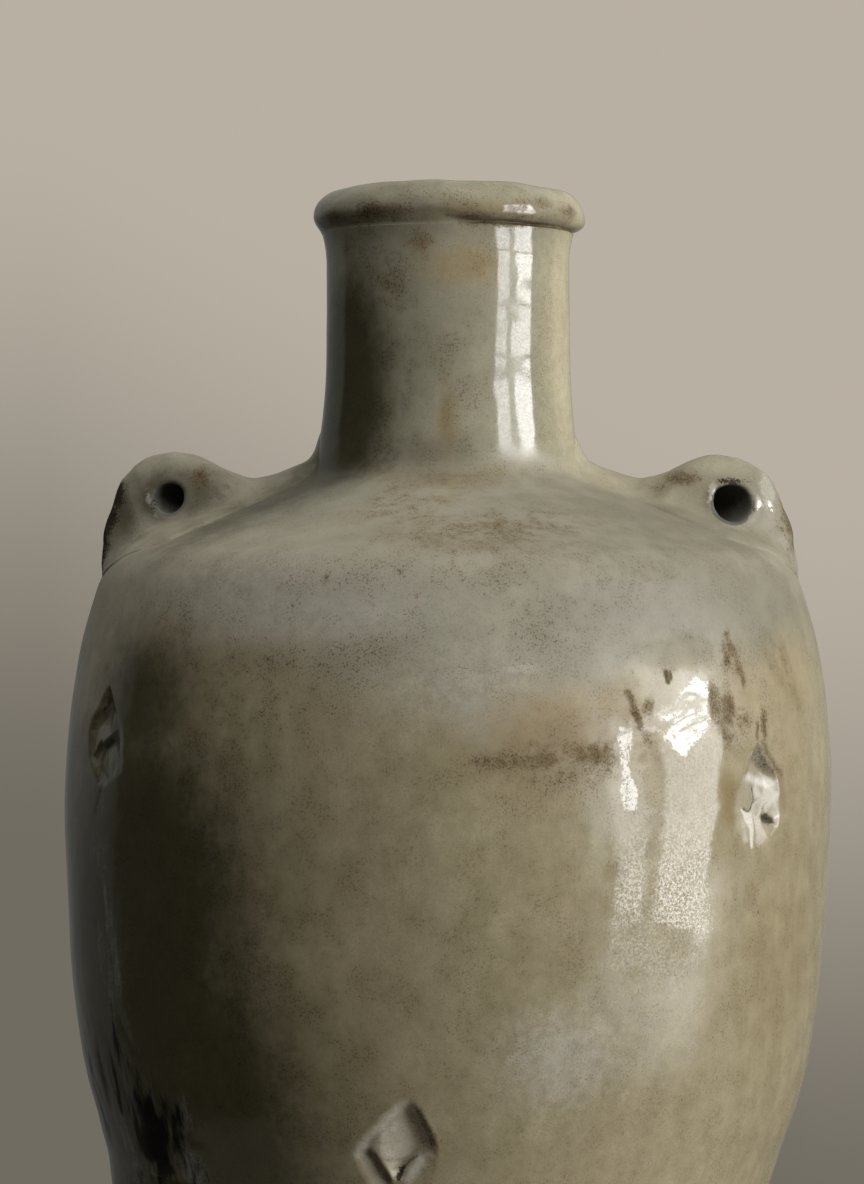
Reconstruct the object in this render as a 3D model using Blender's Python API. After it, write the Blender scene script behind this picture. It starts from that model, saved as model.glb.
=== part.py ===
"""Stoneware bottle vase with two pierced lugs, built from thrown sections that are luted together.

Metres, +Z up. The vase turns about the Z axis and its foot rests on z = 0. The front is -Y and the
lugs stand on the X axis. An outline is a list of (radius, level) points that runs down its outer side.
"""
import math

import bmesh
import bpy
from mathutils import Matrix, Vector

# Foot ring
FOOT_HEIGHT = 0.008
FOOT_RADIUS = 0.058
FOOT_WIDTH = 0.011
FOOT_TAPER = 0.0012
FOOT_CHAMFER = 0.001

# Body, from the foot upwards
BASE_RADIUS = 0.060
LOWER_WALL_RISE = 0.148
BELLY_RADIUS = 0.100
BODY_JOINT_DROP = 0.026
UPPER_WALL_RISE = 0.056
UPPER_WALL_REACH = 0.1404
SHOULDER_RISE = 0.0288
SHOULDER_INSIDE_ROUND = 0.008
WALL = 0.007
FLOOR = 0.009
FLOOR_ROUND = 0.014

# Collar, neck and lip
COLLAR_RISE = 0.0092
COLLAR_RADIUS = 0.0338
COLLAR_FILLET = 0.006
NECK_LENGTH = 0.0535
NECK_RADIUS = 0.0321
NECK_FLARE = 0.030
NECK_WALL = 0.006
LIP_HEIGHT = 0.0115
LIP_OVERHANG = 0.0032
LIP_CROWN = 0.0066
LIP_ROLL = 0.003

# Luted joints: a ridge under each upper section sits in a groove in the rim below it
JOINT_GAP = 0.0003
RIDGE_WIDTH_SHARE = 0.45
RIDGE_DEPTH_SHARE = 0.22

# Lugs, which lie on the shoulder: along it outwards, above it, and across it round the vase
LUG_SETBACK = 0.0015
LUG_CORNER_SHARE = 0.72
LUG_RISE = 0.018
LUG_HALF_WIDTH = 0.030
LUG_EDGE = 0.0008
LUG_AZIMUTHS = {"lug_right": 0.0, "lug_left": math.pi}
# Each row: place along the lug, rise of its crest, width of its pad
LUG_ROW_SHARES = (
    (0.00, 0.12, 0.30),
    (0.09, 0.20, 0.38),
    (0.24, 0.43, 0.62),
    (0.32, 0.72, 0.78),
    (0.42, 0.94, 0.92),
    (0.55, 1.00, 1.00),
    (0.67, 0.93, 1.00),
    (0.76, 0.72, 0.96),
    (0.83, 0.46, 0.90),
    (0.88, 0.24, 0.84),
    (0.92, 0.12, 0.78),
    (0.96, 0.04, 0.71),
    (1.00, 0.00, 0.62),
)
# Each column: place across half the pad, rise of the surface
LUG_COLUMN_SHARES = (
    (0.00, 1.00),
    (0.14, 0.98),
    (0.26, 0.87),
    (0.36, 0.64),
    (0.45, 0.40),
    (0.58, 0.20),
    (0.76, 0.07),
    (1.00, 0.00),
)

# Cord hole of each lug, pierced from its two faces at a slant that meets in the middle
HOLE_ALONG_SHARE = 0.595
HOLE_HEIGHT = 0.0086
HOLE_RADIUS = 0.0050
HOLE_WAIST_RADIUS = 0.0040
HOLE_SLANT = 0.0095
HOLE_FACE = 0.0128

# Pressed dents in the wall: turn from the front towards +X, and level as a share of the belly's level
DENT_WIDTH = 0.015
DENT_HEIGHT = 0.026
DENT_DEPTH = 0.0028
DENT_PEAK_SHARE = 0.16
DENT_PLACE_SHARES = (
    (49.5 / 360, 1.030),
    (-60 / 360, 1.120),
    (175 / 360, 1.060),
    (-8 / 360, 0.480),
    (113 / 360, 0.450),
    (233 / 360, 0.430),
)

# One overrun for every cut
CUT_OVERRUN = 0.003

# Fineness of the surfaces
SIDES = 56
WALL_STEPS = 7
ROUND_STEPS = 4
HOLE_SIDES = 20
MERGE_DISTANCE = 0.00001

# Levels and curves that follow from the sizes above
BELLY_LEVEL = FOOT_HEIGHT + LOWER_WALL_RISE
BODY_JOINT_LEVEL = BELLY_LEVEL - BODY_JOINT_DROP
SHOULDER_LEVEL = BELLY_LEVEL + UPPER_WALL_RISE
NECK_BASE_LEVEL = SHOULDER_LEVEL + SHOULDER_RISE
COLLAR_LEVEL = NECK_BASE_LEVEL + COLLAR_RISE
LIP_LEVEL = COLLAR_LEVEL + NECK_LENGTH
TOP_LEVEL = LIP_LEVEL + LIP_HEIGHT
LOWER_WALL_REACH = LOWER_WALL_RISE / math.sqrt(1 - (BASE_RADIUS / BELLY_RADIUS) ** 2)
CORNER_ROUND = SHOULDER_INSIDE_ROUND + WALL


def clear_scene():
    """Remove every object that is in the scene."""
    for item in list(bpy.data.objects):
        bpy.data.objects.remove(item, do_unlink=True)


def glaze(name, colour, roughness):
    """Plain fired surface of one section."""
    material = bpy.data.materials.new(name)
    material.use_nodes = True
    shader = material.node_tree.nodes["Principled BSDF"]
    shader.inputs["Base Color"].default_value = (*colour, 1.0)
    shader.inputs["Roughness"].default_value = roughness
    shader.inputs["Metallic"].default_value = 0.0
    return material


def wall_reach(level):
    """Vertical half axis of the wall's ellipse at a level."""
    return UPPER_WALL_REACH if level > BELLY_LEVEL else LOWER_WALL_REACH


def wall_radius(level):
    """Outside radius of the wall: one half ellipse below the belly and another above it."""
    return BELLY_RADIUS * math.sqrt(1 - ((level - BELLY_LEVEL) / wall_reach(level)) ** 2)


def wall_normal(level):
    """Outward direction of the wall at a level."""
    across = wall_radius(level) / BELLY_RADIUS ** 2
    up = (level - BELLY_LEVEL) / wall_reach(level) ** 2
    return Vector((across, up)).normalized()


def wall_outline(top, bottom):
    """Outside of the wall from one level down to another."""
    levels = [top + (bottom - top) * step / WALL_STEPS for step in range(WALL_STEPS + 1)]
    return [Vector((wall_radius(level), level)) for level in levels]


def arc(centre, across, up, start, end):
    """Elliptical arc between two angles, both ends included."""
    points = []
    for step in range(ROUND_STEPS + 1):
        angle = start + (end - start) * step / ROUND_STEPS
        points.append(centre + Vector((across * math.cos(angle), up * math.sin(angle))))
    return points


def fillet(before, corner, after, radius):
    """Arc that rounds a corner of an outline."""
    to_before = (before - corner).normalized()
    to_after = (after - corner).normalized()
    half = to_before.angle(to_after) / 2
    centre = corner + (to_before + to_after).normalized() * radius / math.sin(half)
    first = corner + to_before * radius / math.tan(half) - centre
    last = corner + to_after * radius / math.tan(half) - centre
    start = math.atan2(first.y, first.x)
    turn = math.atan2(first.x * last.y - first.y * last.x, first.dot(last))
    return arc(centre, radius, radius, start, start + turn)


# Rounded shoulder: a circle tangent to the wall's top, and a straight slope from it to the collar
NECK_CORNER = Vector((COLLAR_RADIUS, NECK_BASE_LEVEL))
WALL_TOP_NORMAL = wall_normal(SHOULDER_LEVEL)
WALL_TOP = Vector((wall_radius(SHOULDER_LEVEL), SHOULDER_LEVEL))
CORNER_CENTRE = WALL_TOP - WALL_TOP_NORMAL * CORNER_ROUND
TO_NECK = NECK_CORNER - CORNER_CENTRE
SLOPE_ANGLE = math.atan2(TO_NECK.y, TO_NECK.x) - math.acos(CORNER_ROUND / TO_NECK.length)
WALL_TOP_ANGLE = math.atan2(WALL_TOP_NORMAL.y, WALL_TOP_NORMAL.x)
SLOPE_NORMAL = Vector((math.cos(SLOPE_ANGLE), math.sin(SLOPE_ANGLE)))
SLOPE_END = CORNER_CENTRE + SLOPE_NORMAL * CORNER_ROUND
SLOPE_LENGTH = (SLOPE_END - NECK_CORNER).length
SLOPE_ALONG = (SLOPE_END - NECK_CORNER) / SLOPE_LENGTH
CORNER_LENGTH = CORNER_ROUND * (SLOPE_ANGLE - WALL_TOP_ANGLE)
FILLET_REACH = COLLAR_FILLET * math.tan(SLOPE_ANGLE / 2)


def shoulder_place(along):
    """Point and outward direction of the bare shoulder, at a distance outwards from the collar."""
    if along <= SLOPE_LENGTH:
        return NECK_CORNER + SLOPE_ALONG * along, SLOPE_NORMAL
    angle = SLOPE_ANGLE - (along - SLOPE_LENGTH) / CORNER_ROUND
    normal = Vector((math.cos(angle), math.sin(angle)))
    return CORNER_CENTRE + normal * CORNER_ROUND, normal


def body_thickness(level):
    """Wall thickness, which eases from the body's to the neck's over the shoulder."""
    share = (level - SHOULDER_LEVEL) / (COLLAR_LEVEL - SHOULDER_LEVEL)
    return WALL + (NECK_WALL - WALL) * min(max(share, 0.0), 1.0)


def inner_side(outline):
    """Inside of a wall, bottom to top, for all the points of its outside but the two ends."""
    inner = []
    for before, point, after in zip(outline, outline[1:], outline[2:]):
        along = (after - before).normalized()
        inner.append(point - Vector((-along.y, along.x)) * body_thickness(point.y))
    return inner[::-1]


def joint_face(outer, inner, level):
    """Meeting face of a luted joint from its outer to its inner edge, with the V across its middle."""
    middle = (outer + inner) / 2
    width = (outer - inner) * RIDGE_WIDTH_SHARE
    depth = (outer - inner) * RIDGE_DEPTH_SHARE
    return [
        Vector((outer, level)),
        Vector((middle + width / 2, level)),
        Vector((middle, level - depth)),
        Vector((middle - width / 2, level)),
        Vector((inner, level)),
    ]


def turned(name, outline, level, material, is_ring=True):
    """Solid turned about the Z axis, with its origin on the axis at a level."""
    mesh = bpy.data.meshes.new(name)
    count = len(outline)
    edges = [(index, index + 1) for index in range(count - 1)]
    if is_ring:
        edges.append((count - 1, 0))
    mesh.from_pydata([(point.x, 0.0, point.y - level) for point in outline], edges, [])
    mesh.materials.append(material)
    item = bpy.data.objects.new(name, mesh)
    item.location.z = level
    bpy.context.scene.collection.objects.link(item)
    screw = item.modifiers.new("turn", "SCREW")
    screw.axis = "Z"
    screw.angle = 2 * math.pi
    screw.steps = SIDES
    screw.render_steps = SIDES
    screw.use_merge_vertices = True
    screw.merge_threshold = MERGE_DISTANCE
    screw.use_smooth_shade = True
    return item


def foot_ring():
    """Ring that the vase stands on, with the groove of its joint in its top."""
    middle = FOOT_RADIUS - FOOT_WIDTH / 2
    outer = FOOT_RADIUS - FOOT_TAPER
    inner = FOOT_RADIUS - FOOT_WIDTH + FOOT_TAPER
    outline = [
        Vector((outer, FOOT_CHAMFER)),
        Vector((outer - FOOT_CHAMFER, 0.0)),
        Vector((middle, 0.0)),
        Vector((inner + FOOT_CHAMFER, 0.0)),
        Vector((inner, FOOT_CHAMFER)),
    ]
    outline += joint_face(FOOT_RADIUS, FOOT_RADIUS - FOOT_WIDTH, FOOT_HEIGHT)[::-1]
    return turned("foot_ring", outline, 0.0, glaze("bare_clay", (0.24, 0.16, 0.10), 0.85))


def lower_body():
    """Bowl with the floor and the lower wall."""
    bottom = FOOT_HEIGHT + JOINT_GAP
    floor_top = FOOT_HEIGHT + FLOOR
    outer = wall_outline(BODY_JOINT_LEVEL, bottom)
    rim = joint_face(outer[0].x, outer[0].x - WALL, BODY_JOINT_LEVEL)
    wall = [point for point in inner_side(outer) if point.y > floor_top + FLOOR_ROUND]
    floor_corner = Vector((wall_radius(floor_top) - WALL, floor_top))
    floor_centre = Vector((0.0, floor_top))
    inner = fillet(floor_centre, floor_corner, wall[0], FLOOR_ROUND) + wall
    underside = joint_face(FOOT_RADIUS, FOOT_RADIUS - FOOT_WIDTH, bottom)
    outline = [floor_centre] + inner + rim[::-1] + outer[1:] + underside + [Vector((0.0, bottom))]
    material = glaze("lower_glaze", (0.25, 0.23, 0.16), 0.35)
    return turned("lower_body", outline, FOOT_HEIGHT, material, is_ring=False)


def upper_body():
    """Upper wall, rounded shoulder and the short collar that carries the neck."""
    bottom = BODY_JOINT_LEVEL + JOINT_GAP
    collar_top = Vector((COLLAR_RADIUS, COLLAR_LEVEL))
    outer = [collar_top] + fillet(collar_top, NECK_CORNER, SLOPE_END, COLLAR_FILLET)
    outer += arc(CORNER_CENTRE, CORNER_ROUND, CORNER_ROUND, SLOPE_ANGLE, WALL_TOP_ANGLE)
    outer += wall_outline(SHOULDER_LEVEL, bottom)[1:]
    foot = joint_face(outer[-1].x, outer[-1].x - WALL, bottom)
    rim = joint_face(COLLAR_RADIUS, COLLAR_RADIUS - NECK_WALL, COLLAR_LEVEL)
    outline = outer[1:-1] + foot + inner_side(outer) + rim[::-1]
    material = glaze("shoulder_glaze", (0.36, 0.36, 0.29), 0.35)
    return turned("upper_body", outline, BODY_JOINT_LEVEL, material)


def neck_radius(level):
    """Outside radius of the neck, which flares out to the collar."""
    share = max(1 - (level - COLLAR_LEVEL) / NECK_FLARE, 0.0)
    return NECK_RADIUS + (COLLAR_RADIUS - NECK_RADIUS) * share ** 2


def neck():
    """Tube between the collar and the lip."""
    bottom = COLLAR_LEVEL + JOINT_GAP
    flare_top = min(COLLAR_LEVEL + NECK_FLARE, LIP_LEVEL)
    levels = [flare_top + (bottom - flare_top) * step / ROUND_STEPS for step in range(ROUND_STEPS + 1)]
    outer = [Vector((neck_radius(level), level)) for level in levels]
    inner = [point - Vector((NECK_WALL, 0.0)) for point in outer[-2::-1]]
    rim = joint_face(NECK_RADIUS, NECK_RADIUS - NECK_WALL, LIP_LEVEL)
    foot = joint_face(outer[-1].x, outer[-1].x - NECK_WALL, bottom)
    outline = outer[:-1] + foot + inner + rim[::-1]
    return turned("neck", outline, COLLAR_LEVEL, glaze("neck_glaze", (0.33, 0.33, 0.25), 0.30))


def lip_ring():
    """Rolled coil that ends the neck, with its crown outside the bore."""
    bottom = LIP_LEVEL + JOINT_GAP
    bore = NECK_RADIUS - NECK_WALL
    crest = bore + LIP_ROLL
    widest = TOP_LEVEL - LIP_CROWN
    quarter = math.pi / 2
    crown_reach = NECK_RADIUS + LIP_OVERHANG - crest
    crown = arc(Vector((crest, widest)), crown_reach, LIP_CROWN, quarter, 0.0)
    tuck = arc(Vector((NECK_RADIUS, widest)), LIP_OVERHANG, widest - bottom, 0.0, -quarter)
    foot = joint_face(NECK_RADIUS, bore, bottom)
    roll = arc(Vector((crest, TOP_LEVEL - LIP_ROLL)), LIP_ROLL, LIP_ROLL, 2 * quarter, quarter)
    outline = crown + tuck[1:-1] + foot + roll[:-1]
    return turned("lip_ring", outline, LIP_LEVEL, glaze("lip_glaze", (0.34, 0.33, 0.26), 0.30))


def lug_point(along, height, across):
    """Point over the shoulder of the lug on +X, across measured round the vase."""
    base, normal = shoulder_place(along)
    place = base + normal * height
    turn = across / base.x
    return Vector((place.x * math.cos(turn), place.x * math.sin(turn), place.y))


LUG_START = FILLET_REACH + LUG_SETBACK
LUG_LENGTH = SLOPE_LENGTH + CORNER_LENGTH * LUG_CORNER_SHARE - LUG_START
LUG_ORIGIN = lug_point(LUG_START + LUG_LENGTH * HOLE_ALONG_SHARE, 0.0, 0.0)


def lug_grids():
    """Underside and top of a lug as two grids of points, inner end first."""
    columns = [(-place, rise) for place, rise in LUG_COLUMN_SHARES[:0:-1]] + list(LUG_COLUMN_SHARES)
    underside = []
    top = []
    for along_share, crest_share, width_share in LUG_ROW_SHARES:
        along = LUG_START + LUG_LENGTH * along_share
        half_width = LUG_HALF_WIDTH * width_share
        low_row = []
        high_row = []
        for place_share, rise_share in columns:
            across = half_width * place_share
            rise = LUG_RISE * crest_share * rise_share
            low_row.append(lug_point(along, JOINT_GAP, across))
            high_row.append(lug_point(along, JOINT_GAP + LUG_EDGE + rise, across))
        underside.append(low_row)
        top.append(high_row)
    return underside, top


def lug_mesh(name):
    """Closed mesh between the two grids of a lug, around its own origin."""
    shape = bmesh.new()
    sheets = []
    for grid in lug_grids():
        sheets.append([[shape.verts.new(point - LUG_ORIGIN) for point in row] for row in grid])
    rows = len(sheets[0])
    columns = len(sheets[0][0])
    for sheet in sheets:
        for row in range(rows - 1):
            for column in range(columns - 1):
                corners = (sheet[row][column], sheet[row][column + 1])
                shape.faces.new(corners + (sheet[row + 1][column + 1], sheet[row + 1][column]))
    border = [(0, column) for column in range(columns - 1)]
    border += [(row, columns - 1) for row in range(rows - 1)]
    border += [(rows - 1, column) for column in range(columns - 1, 0, -1)]
    border += [(row, 0) for row in range(rows - 1, 0, -1)]
    low, high = sheets
    for (row, column), (next_row, next_column) in zip(border, border[1:] + border[:1]):
        side = (low[row][column], low[next_row][next_column])
        shape.faces.new(side + (high[next_row][next_column], high[row][column]))
    bmesh.ops.recalc_face_normals(shape, faces=shape.faces)
    mesh = bpy.data.meshes.new(name)
    shape.to_mesh(mesh)
    shape.free()
    mesh.shade_smooth()
    return mesh


def cutter(name, mesh, place):
    """Guide solid that only cuts its neighbours."""
    item = bpy.data.objects.new(name, mesh)
    item.matrix_world = place
    item.hide_render = True
    item.display_type = "WIRE"
    bpy.context.scene.collection.objects.link(item)
    return item


def cut(item, tool):
    """Take the space of a cutter out of a solid."""
    modifier = item.modifiers.new("cut_" + tool.name, "BOOLEAN")
    modifier.operation = "DIFFERENCE"
    modifier.solver = "EXACT"
    modifier.object = tool


def hole_mesh(name, side):
    """Tapered pin of half a cord hole, from past the lug's face to past its middle."""
    along = LUG_START + LUG_LENGTH * HOLE_ALONG_SHARE
    face = lug_point(along, HOLE_HEIGHT, side * HOLE_FACE)
    middle = lug_point(along - HOLE_SLANT, HOLE_HEIGHT, 0.0)
    inwards = (middle - face).normalized()
    narrowing = (HOLE_RADIUS - HOLE_WAIST_RADIUS) / (middle - face).length
    start = face - inwards * (CUT_OVERRUN + HOLE_RADIUS)
    end = middle + inwards * HOLE_WAIST_RADIUS
    length = (end - start).length
    start_radius = HOLE_RADIUS + narrowing * (face - start).length
    shape = bmesh.new()
    bmesh.ops.create_cone(
        shape, cap_ends=True, segments=HOLE_SIDES, depth=length,
        radius1=start_radius, radius2=start_radius - narrowing * length)
    turn = inwards.to_track_quat("Z", "Y").to_matrix().to_4x4()
    shape.transform(Matrix.Translation((start + end) / 2 - LUG_ORIGIN) @ turn)
    mesh = bpy.data.meshes.new(name)
    shape.to_mesh(mesh)
    shape.free()
    return mesh


def lug(name, azimuth):
    """Pierced ear on the shoulder, turned to its side of the vase."""
    mesh = lug_mesh(name)
    mesh.materials.append(glaze(name + "_glaze", (0.33, 0.32, 0.25), 0.35))
    place = Matrix.Rotation(azimuth, 4, "Z") @ Matrix.Translation(LUG_ORIGIN)
    item = bpy.data.objects.new(name, mesh)
    item.matrix_world = place
    bpy.context.scene.collection.objects.link(item)
    for side, end in ((-1, "_first_hole"), (1, "_second_hole")):
        cut(item, cutter(name + end, hole_mesh(name + end, side), place))
    return item


def dent_mesh(name):
    """Four-sided pyramid whose point presses inwards along +Y, drawn up towards its peak."""
    grow = (DENT_DEPTH + CUT_OVERRUN) / DENT_DEPTH
    half_width = DENT_WIDTH / 2 * grow
    half_height = DENT_HEIGHT / 2 * grow
    corners = [
        (half_width, -CUT_OVERRUN, 0.0),
        (0.0, -CUT_OVERRUN, half_height),
        (-half_width, -CUT_OVERRUN, 0.0),
        (0.0, -CUT_OVERRUN, -half_height),
        (0.0, DENT_DEPTH, DENT_HEIGHT * DENT_PEAK_SHARE),
    ]
    mesh = bpy.data.meshes.new(name)
    faces = [(3, 2, 1, 0), (0, 1, 4), (1, 2, 4), (2, 3, 4), (3, 0, 4)]
    mesh.from_pydata(corners, [], faces)
    shape = bmesh.new()
    shape.from_mesh(mesh)
    bmesh.ops.recalc_face_normals(shape, faces=shape.faces)
    shape.to_mesh(mesh)
    shape.free()
    return mesh


def press_dents(lower, upper):
    """Press the folded dents into the two halves of the body."""
    for number, (turn_share, level_share) in enumerate(DENT_PLACE_SHARES, 1):
        level = BELLY_LEVEL * level_share
        normal = wall_normal(level)
        turn = Matrix.Rotation(2 * math.pi * turn_share, 4, "Z")
        lean = Matrix.Rotation(-math.atan2(normal.y, normal.x), 4, "X")
        place = turn @ Matrix.Translation((0.0, -wall_radius(level), level)) @ lean
        name = "dent_%d" % number
        cut(upper if level > BODY_JOINT_LEVEL else lower, cutter(name, dent_mesh(name), place))


def main():
    """Build the vase and hang every section on one empty at the middle of its foot."""
    clear_scene()
    lower = lower_body()
    upper = upper_body()
    press_dents(lower, upper)
    pieces = [foot_ring(), lower, upper, neck(), lip_ring()]
    pieces += [lug(name, azimuth) for name, azimuth in LUG_AZIMUTHS.items()]
    axis = bpy.data.objects.new("vase_axis", None)
    bpy.context.scene.collection.objects.link(axis)
    for piece in pieces:
        piece.parent = axis


main()
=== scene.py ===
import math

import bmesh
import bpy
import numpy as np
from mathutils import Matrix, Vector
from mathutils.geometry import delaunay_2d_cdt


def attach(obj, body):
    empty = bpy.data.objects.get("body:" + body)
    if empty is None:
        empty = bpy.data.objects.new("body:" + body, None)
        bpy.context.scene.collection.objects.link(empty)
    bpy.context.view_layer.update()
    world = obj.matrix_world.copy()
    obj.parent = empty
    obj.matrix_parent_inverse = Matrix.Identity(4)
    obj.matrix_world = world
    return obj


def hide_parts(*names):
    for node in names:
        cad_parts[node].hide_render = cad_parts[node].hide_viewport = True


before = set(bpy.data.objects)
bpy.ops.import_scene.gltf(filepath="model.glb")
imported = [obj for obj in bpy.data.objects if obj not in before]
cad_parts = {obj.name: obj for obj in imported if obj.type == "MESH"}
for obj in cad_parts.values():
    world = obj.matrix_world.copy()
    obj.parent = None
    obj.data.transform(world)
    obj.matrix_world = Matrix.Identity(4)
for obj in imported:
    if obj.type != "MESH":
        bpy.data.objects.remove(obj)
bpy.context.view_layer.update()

# Bottle vase with two cord lugs: the glazed skins, their materials, the light and the camera.
#
# Shapes are written in millimetres and MM turns them into the frame's metres. The vase turns about the
# Z axis, its foot rests on z = 0 and its front is -Y. A turn goes round from the front towards +X, in
# degrees in the tables. A path is a distance up the outside of the outline, from the foot's joint.
# Waves of unevenness are given as height, shortest wave, longest wave, number of waves and seed.

MM = 0.001


def linked(name, data):
    """New object of some data, linked to the scene."""
    item = bpy.data.objects.new(name, data)
    bpy.context.scene.collection.objects.link(item)
    return item


def rows_between(low, high, height):
    """Evenly spaced values from low to high, about this far apart."""
    return np.linspace(low, high, int(round((high - low) / height)) + 1)


def round_points(turn, radius, level):
    """Points at turns, radii and levels."""
    return np.column_stack([radius * np.sin(turn), -radius * np.cos(turn), level + np.zeros(len(turn))])


def ring_turns(columns):
    """Turns of a ring's points."""
    return np.arange(columns) * 2 * math.pi / columns


def wrapped(degrees):
    """Angles between -180 and 180."""
    return (degrees + 180) % 360 - 180


def arc(degrees, place, radius):
    """Distance round the vase from a place."""
    return wrapped(degrees - place) * math.pi / 180 * radius


def smooth_step(low, high, value):
    """0 below low, 1 above high and a soft rise between them."""
    share = np.clip((value - low) / (high - low), 0, 1)
    return share * share * (3 - 2 * share)


# ---------------------------------------------------------------- outline of the vase

FOOT_LEVEL = 8.0
JOINT_LEVEL = 130.0
BELLY_LEVEL = 156.0
SHOULDER_LEVEL = 212.0
COLLAR_LEVEL = 250.0
BELLY_RADIUS = 100.0
LOWER_REACH = 185.0
UPPER_REACH = 140.4
WALL_STEP = 2.0
CORNER_ROUND = 15.0
CORNER_POINTS = 8
SLOPE_OUTER = (84.9, 219.4)
SLOPE_INNER = (42.5, 237.15)
# Radius and level of the throat and the neck, read off the photograph's silhouette
THROAT = (
    (37.6, 239.5), (36, 240.5), (34.9, 242), (34.3, 244.4), (33.8, 247.3), (33.4, 250), (33, 253.5),
    (32.6, 258), (32.3, 262), (32.05, 269), (31.95, 285), (31.95, 297), (32.3, 300.6), (33, 303.5),
)
OUTLINE_STEP = 0.25
OUTLINE_SMOOTH = 1.2
BELL_REACH = 3
BODY_WALL = 7.0
NECK_WALL = 6.0
# How far the left and right sides stand off that outline, by level
SIDE_LEVELS = (0, 48, 55, 65, 76, 84, 91, 103, 116, 126, 140, 156, 166, 177, 187, 198, 208, 216, 240, 320)
LEFT_STANDS = (0.6, 3, 4, 1.8, 1.5, 1.9, 1.9, 1.4, 0.9, 0.5, 0.2, 0, -0.2, -0.3, -0.3, 0, -0.2, -0.3, 0, 0)
RIGHT_STANDS = (
    0, -0.4, -0.5, -0.4, 0.6, 0.8, 0.8, 0.3, -0.2, -0.3, -0.5, -0.3, 0.1, 0.1, 0.4, 0.6, 0.6, 0.4, 0, 0,
)


def wall_radius(level):
    """Radius of the wall: one half ellipse below the belly and another above it."""
    reach = UPPER_REACH if level > BELLY_LEVEL else LOWER_REACH
    return BELLY_RADIUS * math.sqrt(1 - ((level - BELLY_LEVEL) / reach) ** 2)


def rough_outline():
    """Corner points of the outside, from the foot's joint to the lip's."""
    points = [(wall_radius(z), z) for z in rows_between(FOOT_LEVEL, SHOULDER_LEVEL, WALL_STEP)]
    corner_radius = wall_radius(SHOULDER_LEVEL)
    wall_angle = math.atan2((SHOULDER_LEVEL - BELLY_LEVEL) / UPPER_REACH ** 2,
                            corner_radius / BELLY_RADIUS ** 2)
    centre_r = corner_radius - CORNER_ROUND * math.cos(wall_angle)
    centre_z = SHOULDER_LEVEL - CORNER_ROUND * math.sin(wall_angle)
    slope_angle = math.atan2(SLOPE_OUTER[1] - centre_z, SLOPE_OUTER[0] - centre_r)
    for angle in np.linspace(wall_angle, slope_angle, CORNER_POINTS)[1:]:
        points.append((centre_r + CORNER_ROUND * math.cos(angle), centre_z + CORNER_ROUND * math.sin(angle)))
    return points + [SLOPE_INNER] + list(THROAT)


def path_lengths(points):
    """Distance along a polyline at each of its points."""
    return np.concatenate([[0], np.cumsum(np.hypot(*np.diff(points, axis=0).T))])


def columns_at(places, keys, points):
    """Both columns of a table at places between its keys."""
    return np.column_stack([np.interp(places, keys, points[:, axis]) for axis in (0, 1)])


def convolved(points, weights):
    """Both columns of a polyline, each point averaged with its neighbours."""
    return np.column_stack([np.convolve(points[:, axis], weights, "valid") for axis in (0, 1)])


def resampled(points, step):
    """Polyline with evenly spaced points."""
    points = np.array(points, float)
    lengths = path_lengths(points)
    return columns_at(rows_between(0, lengths[-1], step), lengths, points)


def smoothed(points, width):
    """Polyline smoothed by a bell curve, with its ends kept."""
    reach = int(width * BELL_REACH / OUTLINE_STEP)
    weights = np.exp(-0.5 * (np.arange(-reach, reach + 1) * OUTLINE_STEP / width) ** 2)
    first = 2 * points[0] - points[reach:0:-1]
    last = 2 * points[-1] - points[-2:-reach - 2:-1]
    return convolved(np.vstack([first, points, last]), weights / weights.sum())


OUTLINE = smoothed(resampled(rough_outline(), OUTLINE_STEP), OUTLINE_SMOOTH)
PATHS = path_lengths(OUTLINE)
_along = np.gradient(OUTLINE, axis=0)
_along /= np.linalg.norm(_along, axis=1)[:, None]
OUTLINE_NORMALS = np.column_stack([_along[:, 1], -_along[:, 0]])


def path_at(level):
    """Path where the outline reaches a level."""
    return float(np.interp(level, OUTLINE[:, 1], PATHS))


JOINT_PATH = path_at(JOINT_LEVEL)
COLLAR_PATH = path_at(COLLAR_LEVEL)
LIP_PATH = float(PATHS[-1])


def on_outline(path):
    """Radius, level and outward direction at paths."""
    path = np.asarray(path, float)
    return [np.interp(path, PATHS, column) for column in (*OUTLINE.T, *OUTLINE_NORMALS.T)]


# ---------------------------------------------------------------- relief of the hand-made skin

THROWING_PITCH = 8.5
THROWING_DEPTH = 0.006
THROWING_DRIFT = (60, 120, 8, 11)
THROWING_SWAY = 0.5
LUMPS = ((0.15, 26, 70, 26, 3), (0.012, 5, 10, 40, 5))


def wave_field(points, shortest, longest, waves, seed):
    """Soft uneven field of mean 0 and spread about 1, made of plane waves through space."""
    draw = np.random.default_rng(seed)
    total = np.zeros(len(points))
    for _ in range(waves):
        direction = draw.normal(size=3)
        direction /= np.linalg.norm(direction)
        length = draw.uniform(shortest, longest)
        total += np.cos(points @ direction * (2 * math.pi / length) + draw.uniform(0, 2 * math.pi))
    return total * math.sqrt(2 / waves)


def summed_waves(points, rows):
    """Sum of several wave fields."""
    return sum(height * wave_field(points, *field) for height, *field in rows)


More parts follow.
